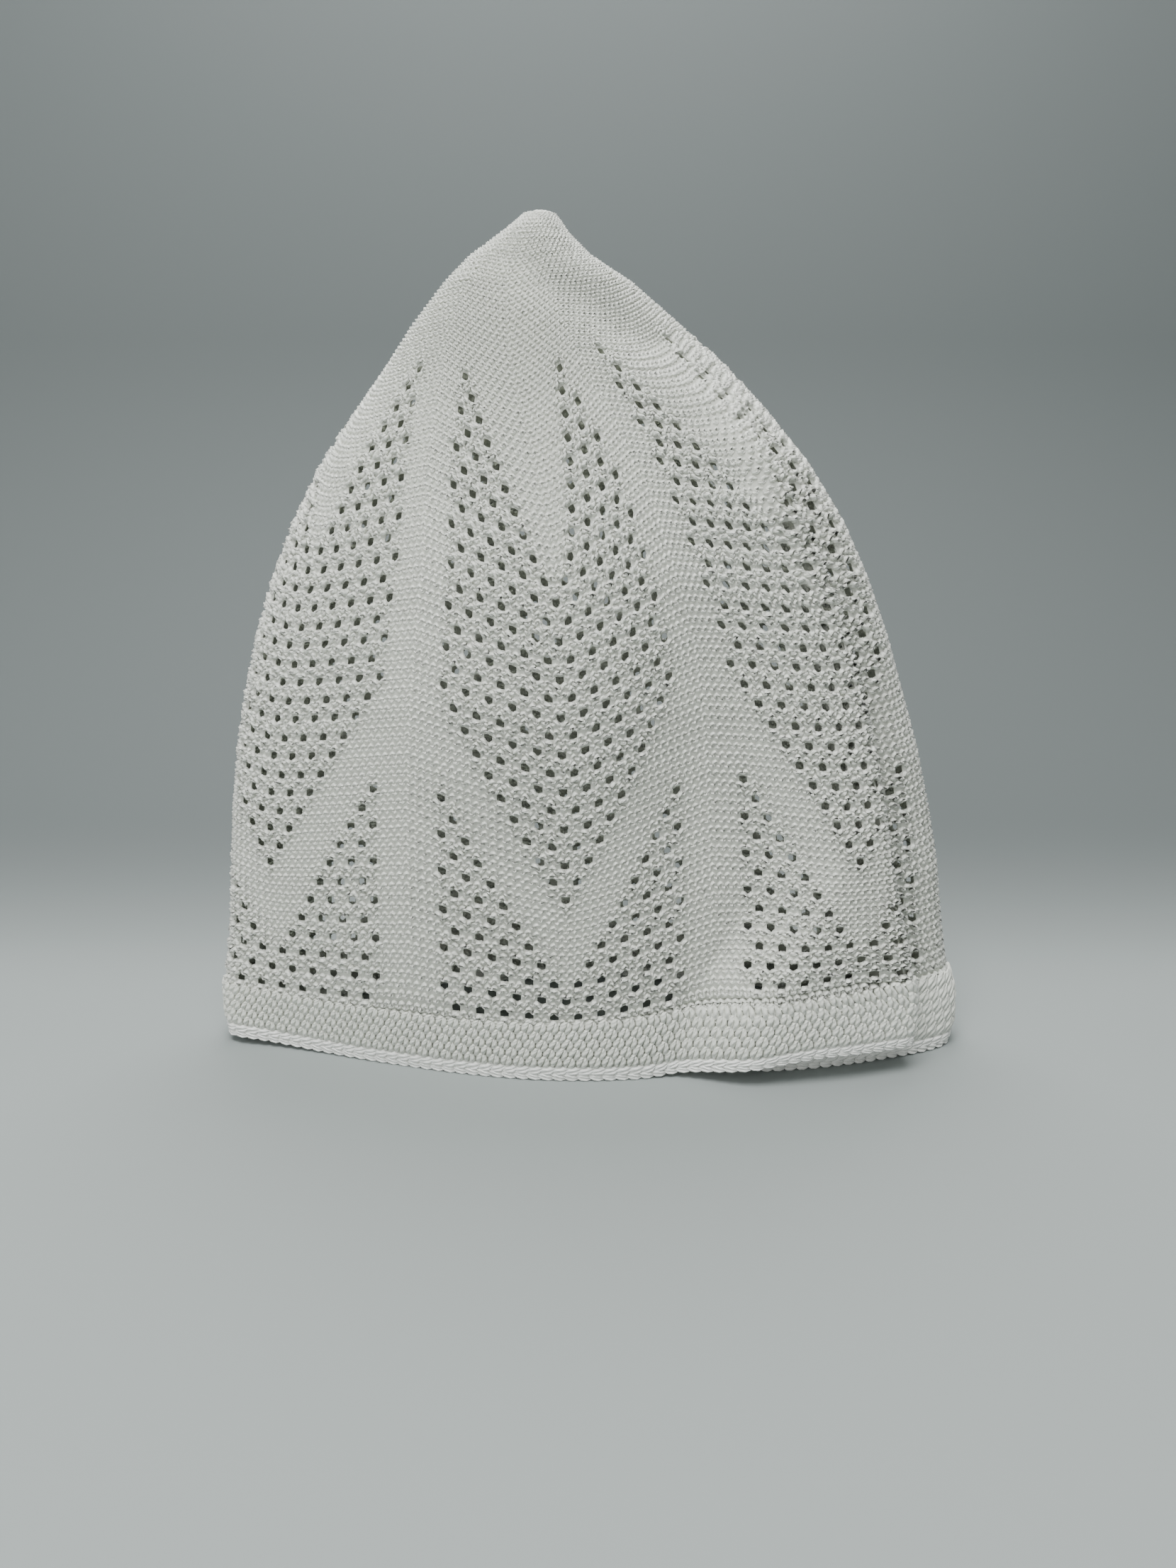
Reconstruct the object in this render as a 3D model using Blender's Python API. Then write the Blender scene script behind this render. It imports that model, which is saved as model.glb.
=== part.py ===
"""A knitted lace prayer cap standing on its rim, soft, with one deep pleat on its right.

The cap is a single knitted wall. Three pieces make it up: the crown with its lace
diamonds, the thick stitched band under it, and the crocheted edge that it stands on.
Each is a thin wall that follows one closed plan curve, and that curve carries the pleat:
the wall runs out over itself, doubles back and runs on underneath.

Metres, +Z up, +Y away from the viewer. The origin is on the floor, below the middle of
the cap's outer box.
"""
import math
from collections import namedtuple

import bmesh
import bpy
import numpy as np

# Walls
CROWN_WALL = 0.0018
BAND_WALL = 0.0022
EDGE_WALL = 0.0024
PIECE_GAP = 0.0003

# Heights where one piece ends and the next begins
EDGE_TOP = 0.0040
BAND_TOP = 0.0170
TIP_HEIGHT = 0.2228

# The middle of the outer box, as measured from the middle of the front rim
BOX_CENTRE_X = 0.00025
BOX_CENTRE_Y = 0.01017

# Outline of the outer face at a height: its left and right ends, how far it swells to
# the front and to the back of the line between them, and how pointed its left end is
Section = namedtuple("Section", "height left right front back left_power")
SECTIONS = [
    Section(0.0000, -0.1042, 0.1044, -0.0240, 0.0500, 3.8),
    Section(0.0080, -0.1052, 0.1058, -0.0255, 0.0505, 3.4),
    Section(0.0160, -0.1051, 0.1054, -0.0262, 0.0510, 3.0),
    Section(0.0260, -0.1036, 0.1024, -0.0270, 0.0515, 2.7),
    Section(0.0370, -0.1020, 0.1006, -0.0280, 0.0520, 2.4),
    Section(0.0530, -0.1007, 0.0985, -0.0290, 0.0520, 2.1),
    Section(0.0700, -0.0993, 0.0950, -0.0300, 0.0515, 2.0),
    Section(0.0860, -0.0968, 0.0909, -0.0312, 0.0508, 1.9),
    Section(0.1010, -0.0938, 0.0861, -0.0318, 0.0500, 1.8),
    Section(0.1170, -0.0896, 0.0809, -0.0308, 0.0480, 1.7),
    Section(0.1320, -0.0844, 0.0749, -0.0292, 0.0455, 1.6),
    Section(0.1460, -0.0783, 0.0680, -0.0268, 0.0420, 1.5),
    Section(0.1610, -0.0702, 0.0583, -0.0235, 0.0370, 1.4),
    Section(0.1750, -0.0601, 0.0462, -0.0202, 0.0315, 1.3),
    Section(0.1850, -0.0525, 0.0359, -0.0180, 0.0270, 1.2),
    Section(0.1950, -0.0454, 0.0244, -0.0158, 0.0222, 1.1),
    Section(0.2050, -0.0370, 0.0120, -0.0128, 0.0160, 1.0),
    Section(0.2115, -0.0304, 0.0016, -0.0098, 0.0104, 1.0),
    Section(0.2165, -0.0230, -0.0038, -0.0072, 0.0072, 1.0),
    Section(0.2200, -0.0182, -0.0064, -0.0048, 0.0048, 1.0),
    Section(0.2228, -0.0148, -0.0088, -0.0026, 0.0026, 1.0),
]
RIGHT_POWER = 1.7

# How far along itself the curve is averaged to round its ends, and the most that this
# may be of half its width
CORNER_ROUNDING = 0.0050
MOST_ROUNDING = 0.12

# The pleat at a height: where its folded edge stands, how deep it tucks under, and how
# far over the wall turns, from 1 for a full double-back to 0 for none
Pleat = namedtuple("Pleat", "height edge_x depth turn")
PLEATS = [
    Pleat(0.0000, 0.0850, 0.0420, 1.00),
    Pleat(0.0170, 0.0852, 0.0390, 1.00),
    Pleat(0.0300, 0.0828, 0.0300, 1.00),
    Pleat(0.0450, 0.0799, 0.0180, 1.00),
    Pleat(0.0600, 0.0771, 0.0120, 1.00),
    Pleat(0.0770, 0.0744, 0.0105, 1.00),
    Pleat(0.1020, 0.0693, 0.0095, 1.00),
    Pleat(0.1230, 0.0629, 0.0085, 1.00),
    Pleat(0.1430, 0.0535, 0.0060, 0.95),
    Pleat(0.1530, 0.0479, 0.0045, 0.78),
    Pleat(0.1630, 0.0450, 0.0036, 0.52),
    Pleat(0.1710, 0.0416, 0.0030, 0.30),
    Pleat(0.1800, 0.0362, 0.0030, 0.14),
    Pleat(0.1900, 0.0276, 0.0030, 0.00),
    Pleat(0.2228, 0.0000, 0.0030, 0.00),
]
FOLD_RADIUS = 0.0016
LEAST_FLAT = 0.3

# The flap rises over the wall under it along this ramp, which takes no more than this
# share of the flap; below this girth the pleat shrinks with the cap
FLAP_RAMP = 0.024
MOST_RAMP = 0.6
SHRINK_GIRTH = 0.150

# The pleat's edge keeps clear of the right end by a share of its distance and a little
EDGE_CLEAR_SHARE = 0.12
EDGE_CLEAR = 0.001

# Where the rim doesn't touch the floor: the flap's corner and the left end
FLAP_LIFT = 0.0066
FLAP_LIFT_START_X = 0.032
FLAP_LIFT_END_X = 0.070
CORNER_LIFT = 0.0020
CORNER_LIFT_REACH = 0.022
LIFT_FADE_HEIGHT = 0.030

# Up to the first height the wall's thickness is level; over the next it turns square on it
LEVEL_RIM_TOP = 0.021
LEVEL_RIM_FADE = 0.012

# Soft dents in the front wall: centre, half sizes, lean of the long axis and depth
Dent = namedtuple("Dent", "x z half_width half_height lean depth")
DENTS = [
    Dent(0.034, 0.020, 0.020, 0.060, 0.00, 0.0070),
    Dent(0.028, 0.092, 0.019, 0.048, 0.00, 0.0042),
    Dent(0.002, 0.197, 0.024, 0.0065, -0.52, 0.0026),
    Dent(-0.052, 0.110, 0.022, 0.055, 0.10, 0.0015),
]

# A dent fades out where the wall faces less than this share of the way to the front
DENT_FACING = 0.5

# The knitting: stitches across one lace repeat and where the columns of the wall fall,
# counted in stitches from the middle of the front diamond
REPEAT = 26
REPEATS = 6
LEFT_END = -30.5
FLAP_END = 28.3
UNDER_START = 33.0
RIGHT_END = 41.5

# Where the wall's columns stand, in stitches on the flap and in places elsewhere, which
# count its runs: 0 left end, 1 flap edge, 2 and 3 the tuck, 4 the wall under the flap,
# 5 right end, 6 the left end again
FLAP_COLUMNS = range(-29, 28, 2)
END_COLUMN = 0.8
TUCK_COLUMNS = [1.0, 1.33, 1.67, 2.0, 2.33, 2.67, 3.0, 3.33, 3.67]
UNDER_COLUMNS = [4.0, 4.25, 4.5, 4.7, 4.85, 4.95]
END_STEP = 0.012
BACK_MARGIN = 0.035
BACK_COLUMNS = 18
PLACES = 6.0
HIDDEN = (1.0, 4.6)

# Lace holes kept as real openings: the row's height and the stitches, from the middle
# of a repeat, at which it is pierced
LaceRow = namedtuple("LaceRow", "height stitches")
LACE_ROWS = [
    LaceRow(0.0285, (-9, -5, 5, 9)),
    LaceRow(0.0480, (-9, 9)),
    LaceRow(0.0585, (0,)),
    LaceRow(0.0785, (-4, 4)),
    LaceRow(0.0985, (-8, 0, 8)),
    LaceRow(0.1170, (-4, 4)),
    LaceRow(0.1345, (-8, 0, 8)),
    LaceRow(0.1530, (-8, 8)),
    LaceRow(0.1720, (-10,)),
]
LACE_ROW_HALF = 0.0030

# An eyelet's size, the most of its cell that it may take, and its six corners
HOLE_WIDTH = 0.0044
HOLE_HEIGHT = 0.0032
MOST_OF_CELL = 0.68
HOLE_CORNERS = ((-1.0, 0.0), (-0.45, -1.0), (0.45, -1.0), (1.0, 0.0), (0.45, 1.0), (-0.45, 1.0))

# Heights of the crown's rings that pierce nothing
PLAIN_LEVELS = (0.038, 0.1625, 0.183, 0.193, 0.202, 0.2095, 0.2155, 0.2200)

# At the closed tip the inner face stands lower by a share of the wall, and the middle
# of either face a little higher than its rim
TIP_INNER_DROP = 0.3
TIP_RISE = 0.0002

CURVE_SAMPLES = 1440
SEGMENT_SAMPLES = 160

# Steps up and along the wall over which its direction is read
SLOPE_STEP = 0.0008
TIP_SLOPE_SHARE = 0.25
PLACE_STEP = 0.004

SHARP_ANGLE = 50.0
YARN_COLOUR = (0.80, 0.82, 0.79, 1.0)
CROWN_ROUGHNESS = 0.60
RIM_ROUGHNESS = 0.65


def read_table(rows, height, name):
    """One column of a table of rows, read at a height."""
    heights = [row.height for row in rows]
    return float(np.interp(height, heights, [getattr(row, name) for row in rows]))


def smooth_step(value):
    """0 below 0, 1 above 1, and a soft rise between."""
    t = np.clip(value, 0.0, 1.0)
    return t * t * (3.0 - 2.0 * t)


def arc_lengths(points):
    """Length along a line of points up to each of them."""
    steps = np.linalg.norm(np.diff(points, axis=0), axis=1)
    return np.concatenate(([0.0], np.cumsum(steps)))


def smooth_closed(points, reach):
    """Average a closed line of evenly spaced points along itself over a reach."""
    count = len(points)
    step = arc_lengths(np.vstack((points, points[:1])))[-1] / count
    waves = np.fft.fftfreq(count)
    keep = np.exp(-0.5 * (2.0 * math.pi * waves * reach / step) ** 2)
    return np.stack([np.fft.ifft(np.fft.fft(points[:, k]) * keep).real for k in (0, 1)], 1)


def base_curve(height, inset):
    """The plan curve without its pleat, from the left end round the front, and the
    length along it at the right end. The curve is two half ovals whose front one has
    its ends drawn to points, rounded where they meet."""
    left = read_table(SECTIONS, height, "left") + inset
    right = read_table(SECTIONS, height, "right") - inset
    front = read_table(SECTIONS, height, "front") + inset
    back = read_table(SECTIONS, height, "back") - inset
    left_power = read_table(SECTIONS, height, "left_power")
    right_power = min(left_power, RIGHT_POWER)
    turn = np.linspace(0.0, 2.0 * math.pi, CURVE_SAMPLES + 1)
    across = -np.cos(turn)
    rise = np.abs(np.sin(turn))
    is_front = turn <= math.pi
    middle, half = 0.5 * (left + right), 0.5 * (right - left)
    x = middle + half * across
    power = np.where(across < 0.0, left_power, right_power)
    y = np.where(is_front, front * rise ** power, back * rise)
    line = np.stack((x, y), 1)
    length = arc_lengths(line)
    even = np.linspace(0.0, length[-1], CURVE_SAMPLES, endpoint=False)
    points = np.stack([np.interp(even, length, line[:, k]) for k in (0, 1)], 1)
    half_index = int(round(length[CURVE_SAMPLES // 2] / length[-1] * CURVE_SAMPLES))
    points = smooth_closed(points, min(CORNER_ROUNDING, MOST_ROUNDING * half))
    low, high = points.min(axis=0), points.max(axis=0)
    points[:, 0] = left + (points[:, 0] - low[0]) * (right - left) / (high[0] - low[0])
    points[:, 1] = front + (points[:, 1] - low[1]) * (back - front) / (high[1] - low[1])
    closed = np.vstack((points, points[:1]))
    length = arc_lengths(closed)
    return closed, length, length[half_index]


def fold_shape(depth, turn, scale):
    """The pleat in its own plane: along-wall and outward offsets of the run from the
    flap's edge through both turns, as three runs of points."""
    radius = FOLD_RADIUS * scale
    bend = math.pi * radius
    flat = max(depth - 2.0 * radius, LEAST_FLAT * radius)
    heading_full = math.pi * turn
    runs = ((0.0, heading_full, bend), (heading_full, heading_full, flat),
            (heading_full, 0.0, bend))
    along, out = [np.zeros(1)], [np.zeros(1)]
    for start, end, length in runs:
        heading = np.linspace(start, end, SEGMENT_SAMPLES + 1)
        middle = 0.5 * (heading[1:] + heading[:-1])
        step = length / SEGMENT_SAMPLES
        along.append(along[-1][-1] + np.concatenate(([0.0], np.cumsum(np.cos(middle)) * step)))
        out.append(out[-1][-1] - np.concatenate(([0.0], np.cumsum(np.sin(middle)) * step)))
    return along[1:], out[1:]


def dent_depth(x, z):
    """How far the front wall is pressed in at a place."""
    total = np.zeros_like(x)
    for dent in DENTS:
        u = x - dent.x
        v = (z - dent.z) - dent.lean * u
        total += dent.depth * np.exp(-(u / dent.half_width) ** 2 - (v / dent.half_height) ** 2)
    return total


def plan_line(height, inset):
    """The wall's middle line at a height: points, and for each point its place counted
    in whole runs: 0 left end, 1 flap edge, 2 and 3 the tuck, 4 the wall under the flap,
    5 right end, 6 the left end again."""
    base, length, right_length = base_curve(height, inset)
    girth = length[-1]
    scale = min(1.0, girth / SHRINK_GIRTH)
    depth = read_table(PLEATS, height, "depth") * scale
    turn = read_table(PLEATS, height, "turn")
    edge_x = read_table(PLEATS, height, "edge_x")
    front = length <= right_length
    far_x = base[front, 0].max()
    edge_x = min(edge_x, far_x - EDGE_CLEAR_SHARE * scale * abs(far_x) - EDGE_CLEAR)
    edge_s = float(np.interp(edge_x, base[front, 0], length[front]))
    along, out = fold_shape(depth, turn, scale)
    reach = max(run.max() for run in along)
    tuck = min(run.min() for run in along)
    drop = -out[-1][-1]
    flap_s = edge_s - reach
    ramp = min(FLAP_RAMP, MOST_RAMP * (flap_s + tuck))
    lengths, heights_out, places = [], [], []
    flap = np.linspace(0.0, flap_s, 4 * SEGMENT_SAMPLES + 1)
    lengths.append(flap)
    heights_out.append(drop * smooth_step((flap - (flap_s + tuck - ramp)) / ramp))
    places.append(flap / flap_s)
    for index in range(3):
        lengths.append(flap_s + along[index][1:])
        heights_out.append(drop + out[index][1:])
        places.append(1.0 + index + np.linspace(0.0, 1.0, SEGMENT_SAMPLES + 1)[1:])
    under_s = lengths[-1][-1]
    under = np.linspace(under_s, right_length, 2 * SEGMENT_SAMPLES + 1)[1:]
    lengths.append(under)
    heights_out.append(np.zeros_like(under))
    places.append(4.0 + (under - under_s) / (right_length - under_s))
    rear = np.linspace(right_length, girth, 4 * SEGMENT_SAMPLES + 1)[1:]
    lengths.append(rear)
    heights_out.append(np.zeros_like(rear))
    places.append(5.0 + (rear - right_length) / (girth - right_length))
    s = np.concatenate(lengths)
    h = np.concatenate(heights_out)
    place = np.concatenate(places)
    tangent = (np.roll(base[:-1], -1, 0) - np.roll(base[:-1], 1, 0))
    normal = np.stack((tangent[:, 1], -tangent[:, 0]), 1)
    normal /= np.linalg.norm(normal, axis=1)[:, None]
    normal = np.vstack((normal, normal[:1]))
    x = np.interp(s, length, base[:, 0])
    y = np.interp(s, length, base[:, 1])
    nx = np.interp(s, length, normal[:, 0])
    ny = np.interp(s, length, normal[:, 1])
    is_front = s <= right_length
    h = h - np.where(is_front, dent_depth(x, height) * smooth_step(-ny / DENT_FACING), 0.0)
    lift = FLAP_LIFT * smooth_step((x - FLAP_LIFT_START_X) / (FLAP_LIFT_END_X - FLAP_LIFT_START_X))
    lift = np.where(place <= 2.0, lift, np.where(place < 4.0, lift * (4.0 - place) / 2.0, 0.0))
    end_distance = np.minimum(s, girth - s)
    lift = lift + CORNER_LIFT * np.exp(-(end_distance / CORNER_LIFT_REACH) ** 2)
    z = height + lift * math.exp(-height / LIFT_FADE_HEIGHT)
    return np.stack((x + h * nx, y + h * ny, z), 1), place


def read_line(found, places):
    """Points of a plan line, as plan_line returns it, at some places."""
    line, place = found
    return np.stack([np.interp(places, place, line[:, k]) for k in range(3)], 1)


def wall_points(height, places, wall, side):
    """Points of a wall's outer (side 1) or inner (side -1) face at a height."""
    step = SLOPE_STEP * (1.0 if height < TIP_HEIGHT - 2.0 * SLOPE_STEP else TIP_SLOPE_SHARE)
    below, here, above = (plan_line(min(max(level, 0.0), TIP_HEIGHT), 0.5 * CROWN_WALL)
                          for level in (height - step, height, height + step))
    before = np.where(places < PLACE_STEP, PLACES, places) - PLACE_STEP
    along = read_line(here, places + PLACE_STEP) - read_line(here, before)
    up = read_line(above, places) - read_line(below, places)
    normal = np.cross(along, up)
    normal[:, 2] *= float(smooth_step((height - LEVEL_RIM_TOP) / LEVEL_RIM_FADE))
    normal /= np.linalg.norm(normal, axis=1)[:, None]
    return read_line(here, places) + side * 0.5 * wall * normal


def column_places():
    """Where the wall's columns stand: every second stitch on the front, close together
    round the fold and both ends, wider on the back."""
    span = FLAP_END - LEFT_END
    flap = [0.0, END_COLUMN / span] + [(stitch - LEFT_END) / span for stitch in FLAP_COLUMNS]
    rear = np.linspace(5.0 + BACK_MARGIN, PLACES - BACK_MARGIN, BACK_COLUMNS)
    back = [5.0, 5.0 + END_STEP, *rear, PLACES - END_STEP]
    return np.array(flap + TUCK_COLUMNS + UNDER_COLUMNS + back)


def stitch_of(place):
    """Stitches from the middle of the front diamond, for a place on the plan line."""
    return np.interp(place, [0.0, 1.0, 4.0, 5.0, PLACES],
                     [LEFT_END, FLAP_END, UNDER_START, RIGHT_END, LEFT_END + REPEAT * REPEATS])


def pierced_cells(places):
    """The columns to pierce in each lace row."""
    edges = stitch_of(np.append(places, PLACES))
    found = []
    for row in LACE_ROWS:
        columns = set()
        for repeat in range(-1, REPEATS):
            for offset in row.stitches:
                stitch = repeat * REPEAT + offset
                column = int(np.searchsorted(edges, stitch, side="right")) - 1
                if column < 0 or column >= len(places):
                    continue
                if HIDDEN[0] <= places[column] < HIDDEN[1]:
                    continue
                columns.add(column)
        found.append(columns)
    return found


def add_hole(surface, outer, inner, column, row):
    """Pierce one cell with a six-sided eyelet: a ring of faces on each side and the
    wall of the hole between them."""
    rims = []
    for grid, flip in ((outer, False), (inner, True)):
        count = len(grid[row])
        right = (column + 1) % count
        corners = (grid[row][column], grid[row][right], grid[row + 1][right],
                   grid[row + 1][column])
        low_left, low_right, high_right, high_left = (corner.co.copy() for corner in corners)
        width = 0.5 * ((low_right - low_left).length + (high_right - high_left).length)
        tall = 0.5 * ((high_left - low_left).length + (high_right - low_right).length)
        half_u = 0.5 * min(HOLE_WIDTH / width, MOST_OF_CELL)
        half_v = 0.5 * min(HOLE_HEIGHT / tall, MOST_OF_CELL)
        rim = []
        for u, v in HOLE_CORNERS:
            a, b = 0.5 + half_u * u, 0.5 + half_v * v
            low = low_left.lerp(low_right, a)
            high = high_left.lerp(high_right, a)
            rim.append(surface.verts.new(low.lerp(high, b)))
        faces = [(corners[0], corners[1], rim[2], rim[1]), (corners[1], rim[3], rim[2]),
                 (corners[1], corners[2], rim[3]), (corners[2], rim[4], rim[3]),
                 (corners[2], corners[3], rim[5], rim[4]), (corners[3], rim[0], rim[5]),
                 (corners[3], corners[0], rim[0]), (corners[0], rim[1], rim[0])]
        for face in faces:
            surface.faces.new(tuple(reversed(face)) if flip else face)
        rims.append(rim)
    for index in range(len(HOLE_CORNERS)):
        after = (index + 1) % len(HOLE_CORNERS)
        surface.faces.new((rims[0][index], rims[0][after], rims[1][after], rims[1][index]))


def build_wall(name, levels, wall, closed_top, pierced):
    """A thin wall from ring to ring, open below, closed or open above, with its
    pierced cells, as one closed solid."""
    places = column_places()
    surface = bmesh.new()
    grids = []
    for side in (1.0, -1.0):
        grid = []
        for level in levels:
            height = level
            if closed_top and side < 0.0 and level == levels[-1]:
                height = level - TIP_INNER_DROP * wall
            points = wall_points(height, places, wall, side)
            points[:, 0] -= BOX_CENTRE_X
            points[:, 1] -= BOX_CENTRE_Y
            grid.append([surface.verts.new(tuple(point)) for point in points])
        grids.append(grid)
    outer, inner = grids
    count = len(places)
    for row in range(len(levels) - 1):
        for column in range(count):
            right = (column + 1) % count
            if (row, column) in pierced:
                add_hole(surface, outer, inner, column, row)
                continue
            surface.faces.new((outer[row][column], outer[row][right],
                               outer[row + 1][right], outer[row + 1][column]))
            surface.faces.new((inner[row][right], inner[row][column],
                               inner[row + 1][column], inner[row + 1][right]))
    for column in range(count):
        right = (column + 1) % count
        surface.faces.new((outer[0][right], outer[0][column], inner[0][column],
                           inner[0][right]))
        if not closed_top:
            surface.faces.new((outer[-1][column], outer[-1][right], inner[-1][right],
                               inner[-1][column]))
    if closed_top:
        for grid, flip in ((outer, False), (inner, True)):
            centre = sum((vert.co for vert in grid[-1]), grid[-1][0].co * 0.0) / count
            centre.z += TIP_RISE
            tip = surface.verts.new(centre)
            for column in range(count):
                right = (column + 1) % count
                face = (grid[-1][column], grid[-1][right], tip)
                surface.faces.new(tuple(reversed(face)) if flip else face)
    mesh = bpy.data.meshes.new(name)
    surface.to_mesh(mesh)
    surface.free()
    mesh.shade_smooth()
    mesh.set_sharp_from_angle(angle=math.radians(SHARP_ANGLE))
    piece = bpy.data.objects.new(name, mesh)
    bpy.context.scene.collection.objects.link(piece)
    return piece


def crown_levels(places):
    """The crown's heights and its pierced cells."""
    levels = [BAND_TOP + PIECE_GAP]
    levels += [row.height + side * LACE_ROW_HALF for row in LACE_ROWS for side in (-1.0, 1.0)]
    levels += PLAIN_LEVELS
    levels.append(TIP_HEIGHT - 0.5 * CROWN_WALL)
    levels = sorted(levels)
    pierced = set()
    for row, columns in zip(LACE_ROWS, pierced_cells(places)):
        index = levels.index(row.height - LACE_ROW_HALF)
        pierced.update((index, column) for column in columns)
    return levels, pierced


def yarn_material(name, colour, roughness):
    """A plain yarn finish."""
    material = bpy.data.materials.new(name)
    material.use_nodes = True
    shader = material.node_tree.nodes["Principled BSDF"]
    shader.inputs["Base Color"].default_value = colour
    shader.inputs["Roughness"].default_value = roughness
    shader.inputs["Metallic"].default_value = 0.0
    return material


def clear_scene():
    """Remove what the scene holds."""
    for thing in list(bpy.data.objects):
        bpy.data.objects.remove(thing, do_unlink=True)


def main():
    """Build the crown, the band and the edge."""
    clear_scene()
    levels, pierced = crown_levels(column_places())
    crown = build_wall("crown", levels, CROWN_WALL, True, pierced)
    band = build_wall("rim_band", [EDGE_TOP + PIECE_GAP, 0.5 * (EDGE_TOP + BAND_TOP), BAND_TOP],
                      BAND_WALL, False, set())
    edge = build_wall("hem_edge", [0.0, EDGE_TOP], EDGE_WALL, False, set())
    for piece, roughness in ((crown, CROWN_ROUGHNESS), (band, RIM_ROUGHNESS), (edge, RIM_ROUGHNESS)):
        piece.data.materials.append(yarn_material(piece.name + "_yarn", YARN_COLOUR, roughness))


main()
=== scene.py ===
"""A knitted lace prayer cap standing on its rim: yarn loops laid over the cap's form.

The cap's form is one closed plan curve at each height, with the pleat folded into it.
The knitting is charted in repeats round the cap and rows up it, and every loop of yarn
is placed through that chart: a place in the chart becomes a place on the form. The band
and the crocheted edge are laid along the same form by their own stitch counts.
"""

import logging
import math
from collections import namedtuple
from collections.abc import Iterable
from dataclasses import dataclass, field, replace
from enum import Enum, IntEnum
from itertools import product

import bpy
import numpy as np
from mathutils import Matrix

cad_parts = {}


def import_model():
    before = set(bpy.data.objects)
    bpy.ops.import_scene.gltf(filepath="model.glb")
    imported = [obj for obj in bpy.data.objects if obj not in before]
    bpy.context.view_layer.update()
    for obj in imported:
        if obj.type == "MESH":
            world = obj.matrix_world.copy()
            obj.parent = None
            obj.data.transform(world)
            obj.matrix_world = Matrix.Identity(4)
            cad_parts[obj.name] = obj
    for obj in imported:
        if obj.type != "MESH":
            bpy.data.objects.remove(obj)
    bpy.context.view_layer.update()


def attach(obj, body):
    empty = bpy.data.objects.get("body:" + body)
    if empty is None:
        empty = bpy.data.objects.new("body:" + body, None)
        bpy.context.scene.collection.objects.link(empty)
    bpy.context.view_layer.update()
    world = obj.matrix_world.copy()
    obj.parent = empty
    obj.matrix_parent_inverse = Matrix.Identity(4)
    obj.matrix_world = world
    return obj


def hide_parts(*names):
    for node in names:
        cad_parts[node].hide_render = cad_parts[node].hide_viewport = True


LOG = logging.getLogger("prayer_cap")
Array = np.ndarray
MeshArrays = tuple[Array, Array, Array]
Triple = tuple[float, float, float]

MM = 0.001
TINY = 1e-12
IMAGE_HEIGHT = 2212
ROOT = "root"
YARN_MAP = "yarn"

# The form: the outline at each height, in metres, as the crown's solid has it, and the
# power that slims the front towards its left end
Section = namedtuple("Section", "height left right front back left_power")
SECTIONS = (
    Section(0.0000, -0.1042, 0.1044, -0.0240, 0.0500, 3.8),
    Section(0.0080, -0.1052, 0.1058, -0.0255, 0.0505, 3.4),
    Section(0.0160, -0.1051, 0.1054, -0.0262, 0.0510, 3.0),
    Section(0.0260, -0.1036, 0.1024, -0.0270, 0.0515, 2.7),
    Section(0.0370, -0.1020, 0.1006, -0.0280, 0.0520, 2.4),
    Section(0.0530, -0.1007, 0.0985, -0.0290, 0.0520, 2.1),
    Section(0.0700, -0.0993, 0.0950, -0.0300, 0.0515, 2.0),
    Section(0.0860, -0.0968, 0.0909, -0.0312, 0.0508, 1.9),
    Section(0.1010, -0.0938, 0.0861, -0.0318, 0.0500, 1.8),
    Section(0.1170, -0.0896, 0.0809, -0.0308, 0.0480, 1.7),
    Section(0.1320, -0.0844, 0.0749, -0.0292, 0.0455, 1.6),
    Section(0.1460, -0.0783, 0.0680, -0.0268, 0.0420, 1.5),
    Section(0.1610, -0.0702, 0.0583, -0.0235, 0.0370, 1.4),
    Section(0.1750, -0.0601, 0.0462, -0.0202, 0.0315, 1.3),
    Section(0.1850, -0.0525, 0.0359, -0.0180, 0.0270, 1.2),
    Section(0.1950, -0.0454, 0.0244, -0.0158, 0.0222, 1.1),
    Section(0.2050, -0.0370, 0.0120, -0.0128, 0.0160, 1.0),
    Section(0.2115, -0.0304, 0.0016, -0.0098, 0.0104, 1.0),
    Section(0.2165, -0.0230, -0.0038, -0.0072, 0.0072, 1.0),
    Section(0.2200, -0.0182, -0.0064, -0.0048, 0.0048, 1.0),
    Section(0.2228, -0.0148, -0.0088, -0.0026, 0.0026, 1.0),
)

# The pleat: where its edge stands, how deep it tucks, how far the wall turns over
Pleat = namedtuple("Pleat", "height edge_x depth turn")
PLEATS = (
    Pleat(0.0000, 0.0850, 0.0420, 1.00),
    Pleat(0.0170, 0.0852, 0.0390, 1.00),
    Pleat(0.0300, 0.0828, 0.0300, 1.00),
    Pleat(0.0450, 0.0799, 0.0180, 1.00),
    Pleat(0.0600, 0.0771, 0.0120, 1.00),
    Pleat(0.0770, 0.0744, 0.0105, 1.00),
    Pleat(0.1020, 0.0693, 0.0095, 1.00),
    Pleat(0.1230, 0.0629, 0.0085, 1.00),
    Pleat(0.1430, 0.0535, 0.0060, 0.95),
    Pleat(0.1530, 0.0479, 0.0045, 0.78),
    Pleat(0.1630, 0.0450, 0.0036, 0.52),
    Pleat(0.1710, 0.0416, 0.0030, 0.30),
    Pleat(0.1800, 0.0362, 0.0030, 0.14),
    Pleat(0.1900, 0.0276, 0.0030, 0.00),
    Pleat(0.2228, 0.0000, 0.0030, 0.00),
)

# The dents that press the front in: the middle, half sizes, lean and depth of each
Dent = namedtuple("Dent", "x z half_width half_height lean depth")
DENTS = (
    Dent(0.034, 0.020, 0.020, 0.060, 0.00, 0.0024),
    Dent(0.028, 0.092, 0.019, 0.048, 0.00, 0.0042),
    Dent(0.002, 0.197, 0.024, 0.0065, -0.52, 0.0026),
    Dent(-0.052, 0.110, 0.022, 0.055, 0.10, 0.0015),
)

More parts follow.
